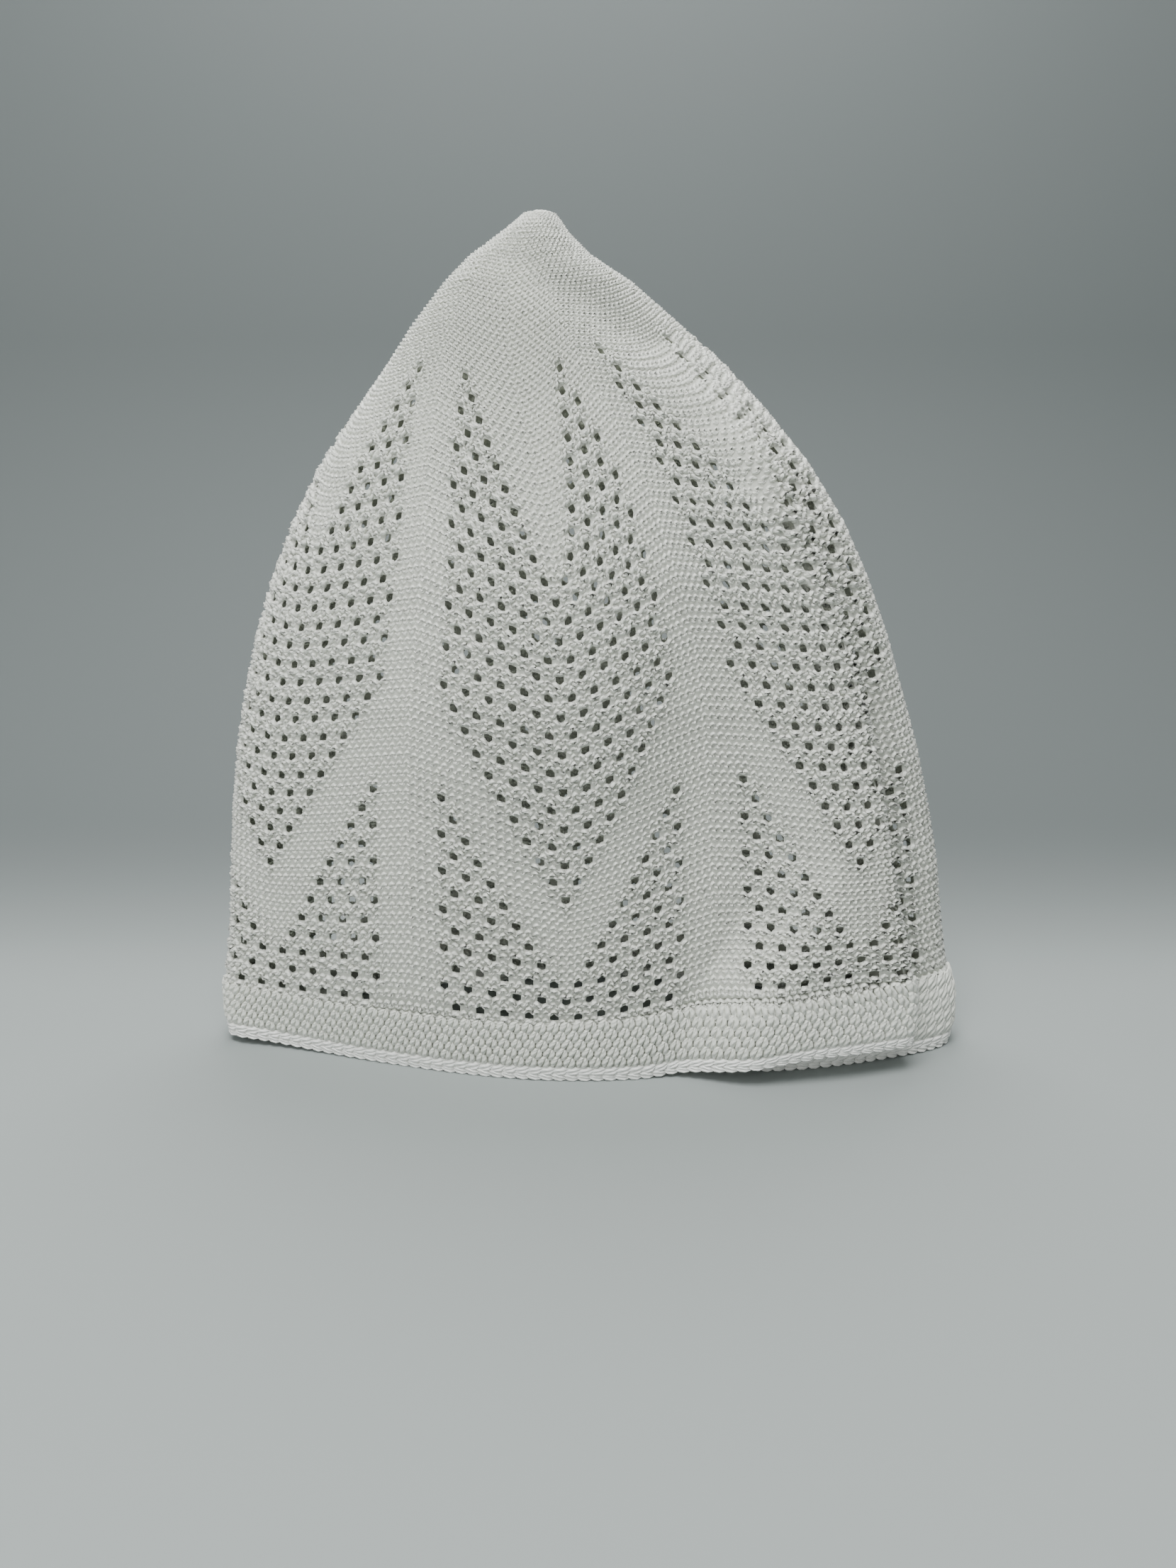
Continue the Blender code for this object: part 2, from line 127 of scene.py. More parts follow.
# How the chart of repeats lies on the form: the axis of the front diamond and of the one
# right of it, the repeats counted at the left end, at the pleat's edge and at the wall
# that comes out from under it, how far along that wall the third pin stands, and the
# repeats counted at the right end
Lie = namedtuple("Lie", "height axis_x next_x left edge under third right")
LIES = (
    Lie(0.0000, -0.0056, 0.0715, -1.173, 1.165, 1.315, 0.39, 1.520),
    Lie(0.0510, -0.0056, 0.0712, -1.173, 1.145, 1.300, 0.49, 1.505),
    Lie(0.0800, -0.0061, 0.0690, -1.180, 1.110, 1.287, 0.555, 1.490),
    Lie(0.0990, -0.0066, 0.0660, -1.190, 1.085, 1.280, 0.63, 1.470),
    Lie(0.1180, -0.0070, 0.0610, -1.200, 1.080, 1.272, 0.69, 1.450),
    Lie(0.1370, -0.0082, 0.0500, -1.210, 1.090, 1.267, 0.70, 1.445),
    Lie(0.1500, -0.0105, 0.0430, -1.190, 1.090, 1.265, 0.71, 1.440),
    Lie(0.1610, -0.0130, 0.0365, -1.160, 1.100, 1.240, 0.71, 1.440),
    Lie(0.1710, -0.0155, 0.0285, -1.130, 1.140, 1.235, 0.71, 1.440),
    Lie(0.1800, -0.0178, 0.0200, -1.100, 1.180, 1.240, 0.71, 1.440),
    Lie(0.1900, -0.0195, 0.0110, -1.080, 1.200, 1.250, 0.71, 1.450),
    Lie(0.2040, -0.0200, -0.0030, -1.050, 1.200, 1.250, 0.71, 1.450),
    Lie(0.2228, -0.0130, -0.0100, -1.050, 1.250, 1.280, 0.71, 1.450),
)

# The repeat that is counted at the third pin, at every height
THIRD_REPEAT = 1.385

# The chart's rows: the height of a row at the front diamond's axis, the stitches across
# one repeat, and how steeply the row climbs from an axis to the middle between two
Row = namedtuple("Row", "row height stitches slope")
ROWS = (
    Row(-9.00, 0.0148, 26.0, 0.00),
    Row(-7.50, 0.0166, 26.0, 0.02),
    Row(-7.00, 0.0187, 26.0, 0.05),
    Row(-6.00, 0.0232, 26.0, 0.09),
    Row(-4.00, 0.0330, 26.0, 0.12),
    Row(0.00, 0.0520, 26.0, 0.18),
    Row(2.00, 0.0613, 26.0, 0.20),
    Row(4.00, 0.0709, 26.0, 0.20),
    Row(8.00, 0.0903, 26.0, 0.20),
    Row(12.0, 0.1089, 26.0, 0.22),
    Row(16.0, 0.1274, 26.0, 0.30),
    Row(18.0, 0.1369, 26.0, 0.35),
    Row(20.0, 0.1468, 24.0, 0.37),
    Row(22.0, 0.1567, 21.6, 0.38),
    Row(24.0, 0.1664, 19.4, 0.40),
    Row(26.0, 0.1758, 17.0, 0.40),
    Row(28.0, 0.1848, 14.4, 0.36),
    Row(30.0, 0.1936, 11.6, 0.30),
    Row(32.0, 0.2018, 9.0, 0.22),
    Row(34.0, 0.2093, 6.6, 0.13),
    Row(35.5, 0.2144, 5.2, 0.06),
    Row(36.5, 0.2173, 4.4, 0.02),
    Row(37.25, 0.2190, 4.0, 0.00),
    Row(38.00, 0.2204, 3.4, 0.00),
    Row(38.75, 0.2213, 2.6, 0.00),
)

# How much higher than at the front diamond a row stands at the next axis, on the wall
# under the flap, at the far side and at the axis on the left, whose repeats come first
Rise = namedtuple("Rise", "row next under far left")
RISE_REPEATS = (1.0, 1.37, 3.0, 5.0)
RISES = (
    Rise(-9.0, 0.0000, 0.0000, 0.0000, 0.0000),
    Rise(-7.5, 0.0086, 0.0030, 0.0004, 0.0002),
    Rise(-7.0, 0.0094, 0.0034, 0.0010, 0.0006),
    Rise(-6.0, 0.0090, 0.0034, 0.0024, 0.0016),
    Rise(0.00, 0.0078, 0.0045, 0.0062, 0.0043),
    Rise(4.00, 0.0093, 0.0053, 0.0074, 0.0051),
    Rise(10.0, 0.0115, 0.0086, 0.0092, 0.0063),
    Rise(18.0, 0.0140, 0.0135, 0.0112, 0.0077),
    Rise(26.0, 0.0120, 0.0116, 0.0096, 0.0066),
    Rise(32.0, 0.0050, 0.0048, 0.0040, 0.0028),
    Rise(36.0, 0.0000, 0.0000, 0.0000, 0.0000),
)

# How far the courses part at an eyelet: half its height in rows and its reach in stitches
Eyelet = namedtuple("Eyelet", "row half_height reach")
EYELETS = (Eyelet(-7.0, 0.31, 0.66), Eyelet(3.0, 0.35, 0.60), Eyelet(8.0, 0.37, 0.56),
           Eyelet(16.0, 0.40, 0.58), Eyelet(20.0, 0.45, 0.68), Eyelet(26.0, 0.45, 0.72))

# The width of one stitch at a row
Pitch = namedtuple("Pitch", "row width")
PITCHES = (Pitch(-8.0, 0.00325), Pitch(0.0, 0.00325), Pitch(10.0, 0.0029),
           Pitch(16.0, 0.0025), Pitch(18.0, 0.0022), Pitch(40.0, 0.0022))


class Place(IntEnum):
    """Where the runs of a plan line end, counted on from its left end."""

    LEFT_END = 0
    FLAP_EDGE = 1
    FIRST_TURN = 2
    PLEAT_END = 4
    RIGHT_END = 5
    ROUND = 6


@dataclass(frozen=True)
class FormSizes:
    """Sizes of the cap's form that the tables don't hold, in metres, and shares of them."""

    wall: float = 0.0018
    band_top: float = 0.0170
    tip_height: float = 0.2228
    centre_x: float = 0.00025
    centre_y: float = 0.01017
    corner_rounding: float = 0.0050
    rounding_share: float = 0.12
    right_power: float = 1.7
    fold_radius: float = 0.0024
    fold_heights: tuple[float, float] = (0.030, 0.095)
    fold_tightness: float = 0.50
    least_tuck: float = 0.3
    edge_share: float = 0.12
    edge_gap: float = 0.001
    flap_ramp: float = 0.024
    ramp_share: float = 0.6
    shrink_girth: float = 0.150
    dent_onset: float = 2.0
    flap_lift: float = 0.0079
    flap_lift_start: float = 0.012
    flap_lift_end: float = 0.064
    corner_lift: float = 0.0020
    corner_lift_reach: float = 0.022
    lift_fade: float = 0.030


def smooth_step(value: Array | float) -> Array:
    """0 below 0, 1 above 1, and a soft cubic rise between."""
    share = np.clip(value, 0.0, 1.0)
    return share * share * (3.0 - 2.0 * share)


def unit(vectors: Array) -> Array:
    """The same directions at length one."""
    return vectors / np.maximum(np.linalg.norm(vectors, axis=-1, keepdims=True), TINY)


def arc_lengths(points: Array) -> Array:
    """Length along a line of points up to each of them."""
    steps = np.linalg.norm(np.diff(points, axis=0), axis=1)
    return np.concatenate(([0.0], np.cumsum(steps)))


def column(rows: tuple, key: str, at: Array | float, name: str) -> Array:
    """One column of a table, read at values of its key column."""
    return np.interp(at, [getattr(row, key) for row in rows], [getattr(row, name) for row in rows])


def off_middle(repeat: Array) -> Array:
    """How far a place is from the middle between two axes, in repeats, -0.5 to 0.5."""
    return repeat - np.floor(repeat) - 0.5


def soften(values: Array, reach: int) -> Array:
    """Average a closed row of values over a reach on both sides of each.

    Args:
        values: the row, whose last value is next to its first.
        reach: how many neighbours count on each side.

    Returns:
        The averages, from running sums.
    """
    padded = np.concatenate((values[-reach:], values, values[:reach])).astype(float)
    sums = np.cumsum(np.insert(padded, 0, 0.0))
    width = 2 * reach + 1
    return (sums[width:] - sums[:-width]) / width


@dataclass
class CapForm:
    """The cap's form: its plan curve at each height, with the pleat in it."""

    sizes: FormSizes = field(default_factory=FormSizes)
    samples: int = 1440
    flap_samples: int = 480
    run_samples: int = 120
    under_samples: int = 360
    rear_samples: int = 720

    def base_curve(self, height: float) -> tuple[Array, Array, float]:
        """The plan curve of the wall's middle without its pleat.

        Two half ovals meet at the ends: x is the middle plus half the width times minus
        cos of the turn, y the swell times sin of the turn to a power. The curve is then
        averaged along itself to round the ends and stretched back to its outline.

        Args:
            height: height above the floor.

        Returns:
            The closed line, the length along it at each point, and that at the right end.
        """
        inset = 0.5 * self.sizes.wall
        left, right, front, back, left_power = (
            float(column(SECTIONS, "height", height, name)) for name in Section._fields[1:])
        low_target = np.array([left + inset, front + inset])
        high_target = np.array([right - inset, back - inset])
        middle, half = 0.5 * (low_target[0] + high_target[0]), 0.5 * (high_target[0] - low_target[0])
        turn = np.linspace(0.0, 2.0 * math.pi, self.samples + 1)
        across, swell = -np.cos(turn), np.abs(np.sin(turn))
        power = np.where(across < 0.0, left_power, min(left_power, self.sizes.right_power))
        y = np.where(turn <= math.pi, low_target[1] * swell ** power, high_target[1] * swell)
        line = np.stack((middle + half * across, y), 1)
        length = arc_lengths(line)
        even = np.linspace(0.0, length[-1], self.samples, endpoint=False)
        points = np.stack([np.interp(even, length, line[:, axis]) for axis in (0, 1)], 1)
        right_index = int(round(length[self.samples // 2] / length[-1] * self.samples))
        rounding = min(self.sizes.corner_rounding, self.sizes.rounding_share * half)
        step = length[-1] / self.samples
        keep = np.exp(-0.5 * (2.0 * math.pi * np.fft.fftfreq(self.samples) * rounding / step) ** 2)
        points = np.fft.ifft(np.fft.fft(points, axis=0) * keep[:, None], axis=0).real
        low, high = points.min(axis=0), points.max(axis=0)
        points = low_target + (points - low) * (high_target - low_target) / (high - low)
        closed = np.vstack((points, points[:1]))
        length = arc_lengths(closed)
        return closed, length, float(length[right_index])

    def fold_shape(self, depth: float, turn: float, radius: float) -> tuple[Array, Array]:
        """The pleat's double turn, as offsets along and out from the flap's edge.

        The heading swings from 0 to a full turn, holds, and swings back; along and out
        are the sums of its cosine and sine.

        Args:
            depth: how far the wall tucks under.
            turn: 1 for a wall that doubles right back, 0 for none.
            radius: how tightly it turns.

        Returns:
            Offsets along and out, each with one row for each of the three runs.
        """
        tuck = max(depth - 2.0 * radius, self.sizes.least_tuck * radius)
        full = math.pi * turn
        lengths = np.array([math.pi * radius, tuck, math.pi * radius])
        share = (np.arange(self.run_samples) + 0.5) / self.run_samples
        heading = np.stack((full * share, np.full_like(share, full), full * (1.0 - share)))
        step = (lengths / self.run_samples)[:, None]
        along = np.cumsum((np.cos(heading) * step).ravel()).reshape(3, -1)
        out = -np.cumsum((np.sin(heading) * step).ravel()).reshape(3, -1)
        return along, out

    def dent_depth(self, x: Array, z: float) -> Array:
        """How far the front is pressed in: a sum of leaning bell-shaped dents.

        Args:
            x: places across the cap.
            z: their height.

        Returns:
            The depth at each place.
        """
        total = np.zeros_like(x)
        for dent in DENTS:
            across = x - dent.x
            up = (z - dent.z) - dent.lean * across
            total += dent.depth * np.exp(-(across / dent.half_width) ** 2
                                         - (up / dent.half_height) ** 2)
        return total

    def rim_lift(self, x: Array, length: Array, girth: float, place: Array) -> Array:
        """How far the rim is lifted: the flap's rise to the right, and a bell at the left end.

        The flap's rise is lost between the first turn's end and the pleat's.

        Args:
            x: places across the cap.
            length: length along the plan line at each.
            girth: the whole of that length.
            place: the place of each, counted in runs.

        Returns:
            The lift of each at the floor, which fades upwards.
        """
        sizes = self.sizes
        lift = sizes.flap_lift * smooth_step((x - sizes.flap_lift_start)
                                             / (sizes.flap_lift_end - sizes.flap_lift_start))
        fade = np.clip((Place.PLEAT_END - place) / (Place.PLEAT_END - Place.FIRST_TURN), 0.0, 1.0)
        from_left = np.minimum(length, girth - length)
        return lift * fade + sizes.corner_lift * np.exp(-(from_left / sizes.corner_lift_reach) ** 2)

    def plan_line(self, height: float) -> tuple[Array, Array, float]:
        """The wall's middle line at a height.

        It runs along the front to the flap's edge, through the pleat's three runs, on to
        the right end and back along the rear. Each point stands off the base curve by its
        own amount along the curve's normal: the flap comes forward by the pleat's
        thickness, and the dents press the front in.

        Args:
            height: height above the floor, before the rim's lifts.

        Returns:
            Points; the place of each, counted in runs; and the place right below the
            flap's edge.
        """
        sizes = self.sizes
        base, length, right_s = self.base_curve(height)
        girth = length[-1]
        scale = min(1.0, girth / sizes.shrink_girth)
        tightness = float(np.interp(height, sizes.fold_heights, (1.0, sizes.fold_tightness)))
        depth, turn, edge_x = (float(column(PLEATS, "height", height, name))
                               for name in ("depth", "turn", "edge_x"))
        along, out = self.fold_shape(depth * scale, turn, sizes.fold_radius * scale * tightness)
        front = length <= right_s
        far_x = base[front, 0].max()
        edge_x = min(edge_x, far_x - sizes.edge_share * scale * abs(far_x) - sizes.edge_gap)
        edge_s = float(np.interp(edge_x, base[front, 0], length[front]))
        tuck, drop = min(0.0, along.min()), -out[-1, -1]
        flap_s = edge_s - max(0.0, along.max())
        under_s = flap_s + along[-1, -1]
        ramp = min(sizes.flap_ramp, sizes.ramp_share * (flap_s + tuck))
        flap = np.linspace(0.0, flap_s, self.flap_samples + 1)
        under = np.linspace(under_s, right_s, self.under_samples + 1)[1:]
        rear = np.linspace(right_s, girth, self.rear_samples + 1)[1:]
        run = np.arange(1, self.run_samples + 1) / self.run_samples
        at = np.concatenate((flap, (flap_s + along).ravel(), under, rear))
        flap_out = drop * smooth_step((flap - (flap_s + tuck - ramp)) / ramp)
        proud = np.concatenate((flap_out, (drop + out).ravel(), np.zeros(len(under) + len(rear))))
        place = np.concatenate((flap / flap_s,
                                (np.arange(3)[:, None] + float(Place.FLAP_EDGE) + run).ravel(),
                                Place.PLEAT_END + (under - under_s) / (right_s - under_s),
                                Place.RIGHT_END + (rear - right_s) / (girth - right_s)))
        tangent = np.roll(base[:-1], -1, 0) - np.roll(base[:-1], 1, 0)
        normal = unit(np.stack((tangent[:, 1], -tangent[:, 0]), 1))
        normal = np.vstack((normal, normal[:1]))
        x, y = (np.interp(at, length, base[:, axis]) for axis in (0, 1))
        normal_x, normal_y = (np.interp(at, length, normal[:, axis]) for axis in (0, 1))
        pressed = self.dent_depth(x, height) * smooth_step(-normal_y * sizes.dent_onset)
        proud = proud - np.where(at <= right_s, pressed, 0.0)
        z = height + self.rim_lift(x, at, girth, place) * math.exp(-height / sizes.lift_fade)
        points = np.stack((x + proud * normal_x - sizes.centre_x,
                           y + proud * normal_y - sizes.centre_y, z), 1)
        edge_place = Place.PLEAT_END + (edge_s - under_s) / (right_s - under_s)
        return points, place, float(edge_place)


@dataclass
class WallMap:
    """Places on the form, read from a fine net of it: once by repeats and once by length.

    Both nets hold a point and an outward normal for each height and each step round. The
    heights stand closer together towards the tip. Towards the tip the repeats also come to
    lie evenly round the cap.
    """

    form: CapForm
    heights: int = 300
    steps: int = 3000
    repeats: int = 6
    height_power: float = 1.25
    even_from: float = 0.160
    even_over: float = 0.034
    axis_margin: float = 0.02
    edge_margin: float = 0.015

    def __post_init__(self) -> None:
        """Work out both nets."""
        top = self.form.sizes.tip_height
        self.levels = top * (1.0 - (1.0 - np.linspace(0.0, 1.0, self.heights)) ** self.height_power)
        ring = np.linspace(0.0, self.repeats, self.steps + 1)
        share = np.linspace(0.0, 1.0, self.steps + 1)
        charted, even, girths = [], [], []
        for height in self.levels:
            line, place, under_place = self.form.plan_line(float(height))
            spots = self.place_of_repeat(ring, float(height), line, place, under_place)
            charted.append(self.read_line(spots, place, line))
            length = arc_lengths(line)
            girths.append(length[-1])
            even.append(self.read_line(share * length[-1], length, line))
        self.girths = np.array(girths)
        self.charted = np.array(charted)
        self.even = np.array(even)
        self.charted_normals = self.normals(self.charted)
        self.even_normals = self.normals(self.even)

    def place_of_repeat(self, ring: Array, height: float, line: Array, place: Array,
                        under_place: float) -> Array:
        """Where on the plan line each repeat falls, at one height.

        Between its pins, which are the two ends, the two front axes, both sides of the
        pleat and one place on the wall beyond it, the chart lies evenly along the line.

        Args:
            ring: repeats counted round the cap.
            height: the height.
            line: the plan line.
            place: the place of each of its points.
            under_place: the place right below the flap's edge.

        Returns:
            The place of each repeat.
        """
        lie = {name: float(column(LIES, "height", height, name)) for name in Lie._fields[1:]}
        flap = place <= Place.FLAP_EDGE
        shift = self.form.sizes.centre_x
        axis, after = (float(np.interp(lie[name] - shift, line[flap, 0], place[flap]))
                       for name in ("axis_x", "next_x"))
        after = min(max(after, axis + self.axis_margin), Place.FLAP_EDGE - self.edge_margin)
        under = max(under_place, Place.PLEAT_END + self.axis_margin)
        third = under + lie["third"] * (Place.RIGHT_END - under)
        bend = 0.5 * (Place.FLAP_EDGE + Place.FIRST_TURN)
        pins = [Place.LEFT_END, axis, after, bend, under, third, Place.RIGHT_END, Place.ROUND]
        counts = [lie["left"], 0.0, 1.0, lie["edge"], lie["under"], THIRD_REPEAT, lie["right"],
                  lie["left"] + self.repeats]
        length = arc_lengths(line)
        pin_s = np.interp(pins, place, length)
        turned = np.mod(ring - lie["left"], self.repeats) + lie["left"]
        pinned = np.interp(turned, counts, pin_s)
        even = pin_s[1] + turned * length[-1] / self.repeats
        share = smooth_step((height - self.even_from) / self.even_over)
        return np.interp(np.mod(pinned + share * (even - pinned), length[-1]), length, place)

    @staticmethod
    def read_line(at: Array, key: Array, line: Array) -> Array:
        """Points of a line at values of its key."""
        return np.stack([np.interp(at, key, line[:, axis]) for axis in range(3)], 1)

    @staticmethod
    def normals(net: Array) -> Array:
        """Outward normals of a closed net: round step crossed with upward step.

        Args:
            net: points by height and step round, with the first step repeated at the end.

        Returns:
            A unit normal for each point.
        """
        body = net[:, :-1]
        around = np.roll(body, -2, 1) - np.roll(body, 2, 1)
        normal = unit(np.cross(around, np.gradient(body, axis=0)))
        return np.concatenate((normal, normal[:, :1]), axis=1)

    def locate(self, share: Array, height: Array, charted: bool) -> tuple[Array, Array]:
        """Points and normals at shares of the way round and heights, read bilinearly.

        Args:
            share: share of the way round, 0 to 1 and on round again.
            height: height above the floor, before the lifts.
            charted: by repeats if true, by length if false.

        Returns:
            Points and outward unit normals.
        """
        net, normals = ((self.charted, self.charted_normals) if charted
                        else (self.even, self.even_normals))
        step_at = np.mod(share, 1.0) * self.steps
        level_at = np.interp(height, self.levels, np.arange(self.heights, dtype=float))
        step = np.minimum(step_at.astype(int), self.steps - 1)
        level = np.minimum(level_at.astype(int), self.heights - 2)
        past_step, past_level = (step_at - step)[:, None], (level_at - level)[:, None]

        def between(values: Array, at_level: Array) -> Array:
            """One net read at a level, between two steps."""
            return (values[at_level, step] * (1.0 - past_step)
                    + values[at_level, step + 1] * past_step)

        def read(values: Array) -> Array:
            """One net read between two steps and two levels."""
            return (between(values, level) * (1.0 - past_level)
                    + between(values, level + 1) * past_level)

        return read(net), unit(read(normals))


@dataclass
class LaceChart:
    """The lace chart: which stitches open into eyelets, and how high each row stands.

    A place in it is counted in stitches from the middle between two axes and in rows. The
    rows' own numbers are 0 at the foot of the diamonds and 18 where their tops begin.
    """

    walls: WallMap
    half: int = 13
    inner: int = 3
    diamond_growth: int = 10
    tent_foot: int = -7
    tent_top: int = 4
    tent_slope: int = 7
    plain_from: int = 18
    top_row: int = 26
    top_slope: int = 29
    first_row: float = -8.75
    last_row: float = 38.75
    axis_softness: float = 0.003
    below_share: float = 0.85
    eyelet_fade: float = 0.7

    def stitches(self, row: Array) -> Array:
        """Stitches across one repeat, by row."""
        return column(ROWS, "row", row, "stitches")

    def height(self, repeat: Array, row: Array) -> Array:
        """Height of a row at a repeat.

        The height at the front axis, plus the climb from the nearest axis, which is its
        slope times the distance, plus the rise of the whole row to the right and back.

        Args:
            repeat: repeats counted round.
            row: rows counted up.

        Returns:
            The height of each place above the floor, before the lifts.
        """
        pitch = column(PITCHES, "row", row, "width")
        from_axis = (0.5 - np.abs(off_middle(repeat))) * self.stitches(row) * pitch
        softened = np.sqrt(from_axis ** 2 + self.axis_softness ** 2) - self.axis_softness
        climb = column(ROWS, "row", row, "slope") * softened
        amounts = [column(RISES, "row", row, name) for name in Rise._fields[1:]]
        weights = self.rise_weights(np.mod(repeat, self.walls.repeats))
        rise = sum(amount * weight for amount, weight in zip(amounts, weights))
        found = column(ROWS, "row", row, "height") + climb + rise
        return np.minimum(found, self.walls.form.sizes.tip_height)

    def rise_weights(self, repeat: Array) -> list[Array]:
        """How much each column of the rises counts: 1 at its own repeat, 0 at the next."""
        knots = (0.0, *RISE_REPEATS, float(self.walls.repeats))
        return [np.interp(repeat, knots, [float(knot == own) for knot in knots])
                for own in RISE_REPEATS]

    def is_open(self, from_middle: Array, row: Array) -> Array:
        """Whether an eyelet stands at a place: at every second stitch of the lace."""
        in_step = np.mod(np.abs(from_middle) + row, 2) == 1
        return in_step & self.is_lace(from_middle, row)

    def is_lace(self, from_middle: Array, row: Array) -> Array:
        """Whether a place lies in the lace, and not on the plain knitting between.

        Diamonds widen upwards from the axes, tents stand between their feet, and above
        the widest row a plain wedge parts each diamond's top in two.

        Args:
            from_middle: stitches from the middle between two axes.
            row: rows counted up.

        Returns:
            Whether each place lies in the lace.
        """
        away = np.abs(from_middle)
        diamond = ((row >= 0) & (row < self.plain_from)
                   & (away >= self.half - np.minimum(row, self.diamond_growth)))
        tent = ((row >= self.tent_foot) & (row <= self.tent_top) & (away >= self.inner)
                & (away <= np.minimum(self.tent_slope - row, self.half)))
        top = ((row >= self.plain_from) & (row <= self.top_row) & (away >= self.inner)
               & (away <= self.top_slope - row))
        return (away <= self.half) & (diamond | tent | top)

    def part_courses(self, repeat: Array, rows: Array, course: float) -> tuple[Array, Array]:
        """Bend a course over or under the eyelets next to it.

        Within its reach of an eyelet's middle the course keeps clear of it: its distance
        up from the eyelet's row becomes the root of that distance squared plus the
        opening's half height squared, and the opening is a cosine across its reach.

        Args:
            repeat: repeats counted round, at each point of the course.
            rows: rows counted up, at each point.
            course: the course's own row, which tells on which side of an eyelet it runs.

        Returns:
            The bent rows, and how near each point is to an eyelet, from 0 to 1.
        """
        from_middle = off_middle(repeat) * float(self.stitches(course))
        nearest = round(course)
        others = sorted((nearest - 1, nearest, nearest + 1), key=lambda row: -abs(row - course))
        bent = rows.copy()
        near = np.zeros_like(bent)
        for eyelet_row in others:
            side = 1.0 if course > eyelet_row else -1.0
            parity = (eyelet_row + 1) % 2
            eyelet = 2.0 * np.round((from_middle - parity) / 2.0) + parity
            found = self.is_open(eyelet, np.full_like(eyelet, eyelet_row))
            half, reach = (float(column(EYELETS, "row", eyelet_row, name))
                           for name in ("half_height", "reach"))
            half *= 1.0 if side > 0.0 else self.below_share
            across = np.clip(np.abs(from_middle - eyelet) / reach, 0.0, 1.0)
            opening = np.where(found, np.cos(0.5 * math.pi * across), 0.0)
            clear = np.maximum(side * (bent - eyelet_row), 0.0)
            bent = np.where(opening > 0.0, eyelet_row + side * np.hypot(clear, half * opening), bent)
            near = np.maximum(near, opening * np.exp(-(clear / self.eyelet_fade) ** 2))
        return bent, near


@dataclass
class MeshMaker:
    """Puts computed arrays into meshes and objects."""

    def add(self, name: str, points: Array, faces: Array, material: bpy.types.Material,
            uv: Array | None = None) -> bpy.types.Object:
        """Make one smooth mesh object at the origin.

        Args:
            name: its name.
            points: one row for each vertex.
            faces: one row of vertex numbers for each face.
            material: its finish.
            uv: one row for each face corner, or None.

        Returns:
            The new object.
        """
        mesh = bpy.data.meshes.new(name)
        mesh.vertices.add(len(points))
        mesh.vertices.foreach_set("co", np.ascontiguousarray(points, np.float32).ravel())
        corners = faces.shape[1]
        mesh.loops.add(faces.size)
        mesh.loops.foreach_set("vertex_index", faces.astype(np.int32).ravel())
        mesh.polygons.add(len(faces))
        mesh.polygons.foreach_set("loop_start", np.arange(0, faces.size, corners, dtype=np.int32))
        mesh.update(calc_edges=True)
        if uv is not None:
            layer = mesh.uv_layers.new(name=YARN_MAP)
            layer.data.foreach_set("uv", np.ascontiguousarray(uv, np.float32).ravel())
        mesh.validate()
        mesh.shade_smooth()
        mesh.materials.append(material)
        piece = bpy.data.objects.new(name, mesh)
        bpy.context.scene.collection.objects.link(piece)
        return piece


def ring_tube(line: Array, up: Array, radius_up: Array | float, radius_side: Array | float,
              sides: int) -> MeshArrays:
    """A closed tube along a closed line.

    At each point the profile is an oval: centre plus cos of the turn times the outward
    direction plus sin of the turn times the direction across it, each with its radius.

    Args:
        line: the closed line's points, without the first repeated.
        up: an outward direction for each.
        radius_up: half its thickness outwards.
        radius_side: half its thickness across.
        sides: how many sides the tube has.

    Returns:
        Vertices, quads and a UV pair for each corner: length in millimetres and turn.
    """
    count = len(line)
    tangent = unit(np.roll(line, -1, 0) - np.roll(line, 1, 0))
    side = unit(np.cross(tangent, up))
    out = np.cross(side, tangent)
    turn = 2.0 * math.pi * np.arange(sides) / sides
    radius_up = np.broadcast_to(np.asarray(radius_up, float), (count,))[:, None, None]
    radius_side = np.broadcast_to(np.asarray(radius_side, float), (count,))[:, None, None]
    points = (line[:, None, :] + radius_up * np.cos(turn)[None, :, None] * out[:, None, :]
              + radius_side * np.sin(turn)[None, :, None] * side[:, None, :])
    ring = np.arange(count)[:, None]
    corner = np.arange(sides)[None, :]
    after, beside = (ring + 1) % count, (corner + 1) % sides
    quads = np.stack((ring * sides + corner, ring * sides + beside, after * sides + beside,
                      after * sides + corner), -1).reshape(-1, 4)
    length = arc_lengths(np.vstack((line, line[:1]))) / MM
    u_low = np.broadcast_to(length[:-1, None], (count, sides))
    u_high = np.broadcast_to(length[1:, None], (count, sides))
    v_low = np.broadcast_to(corner / sides, (count, sides))
    v_high = v_low + 1.0 / sides
    uv = np.stack((u_low, v_low, u_low, v_high, u_high, v_high, u_high, v_low), -1)
    return points.reshape(-1, 3), quads, uv.reshape(-1, 2)


def join_parts(parts: list[MeshArrays]) -> MeshArrays:
    """Several meshes' arrays as one mesh's arrays.

    Args:
        parts: vertices, quads and UV pairs of each.

    Returns:
        The same for all of them, with their vertices numbered on.
    """
    points, faces, uvs = zip(*parts)
    starts = np.cumsum([0] + [len(block) for block in points[:-1]])
    shifted = [block + start for block, start in zip(faces, starts)]
    return np.concatenate(points), np.concatenate(shifted), np.concatenate(uvs)


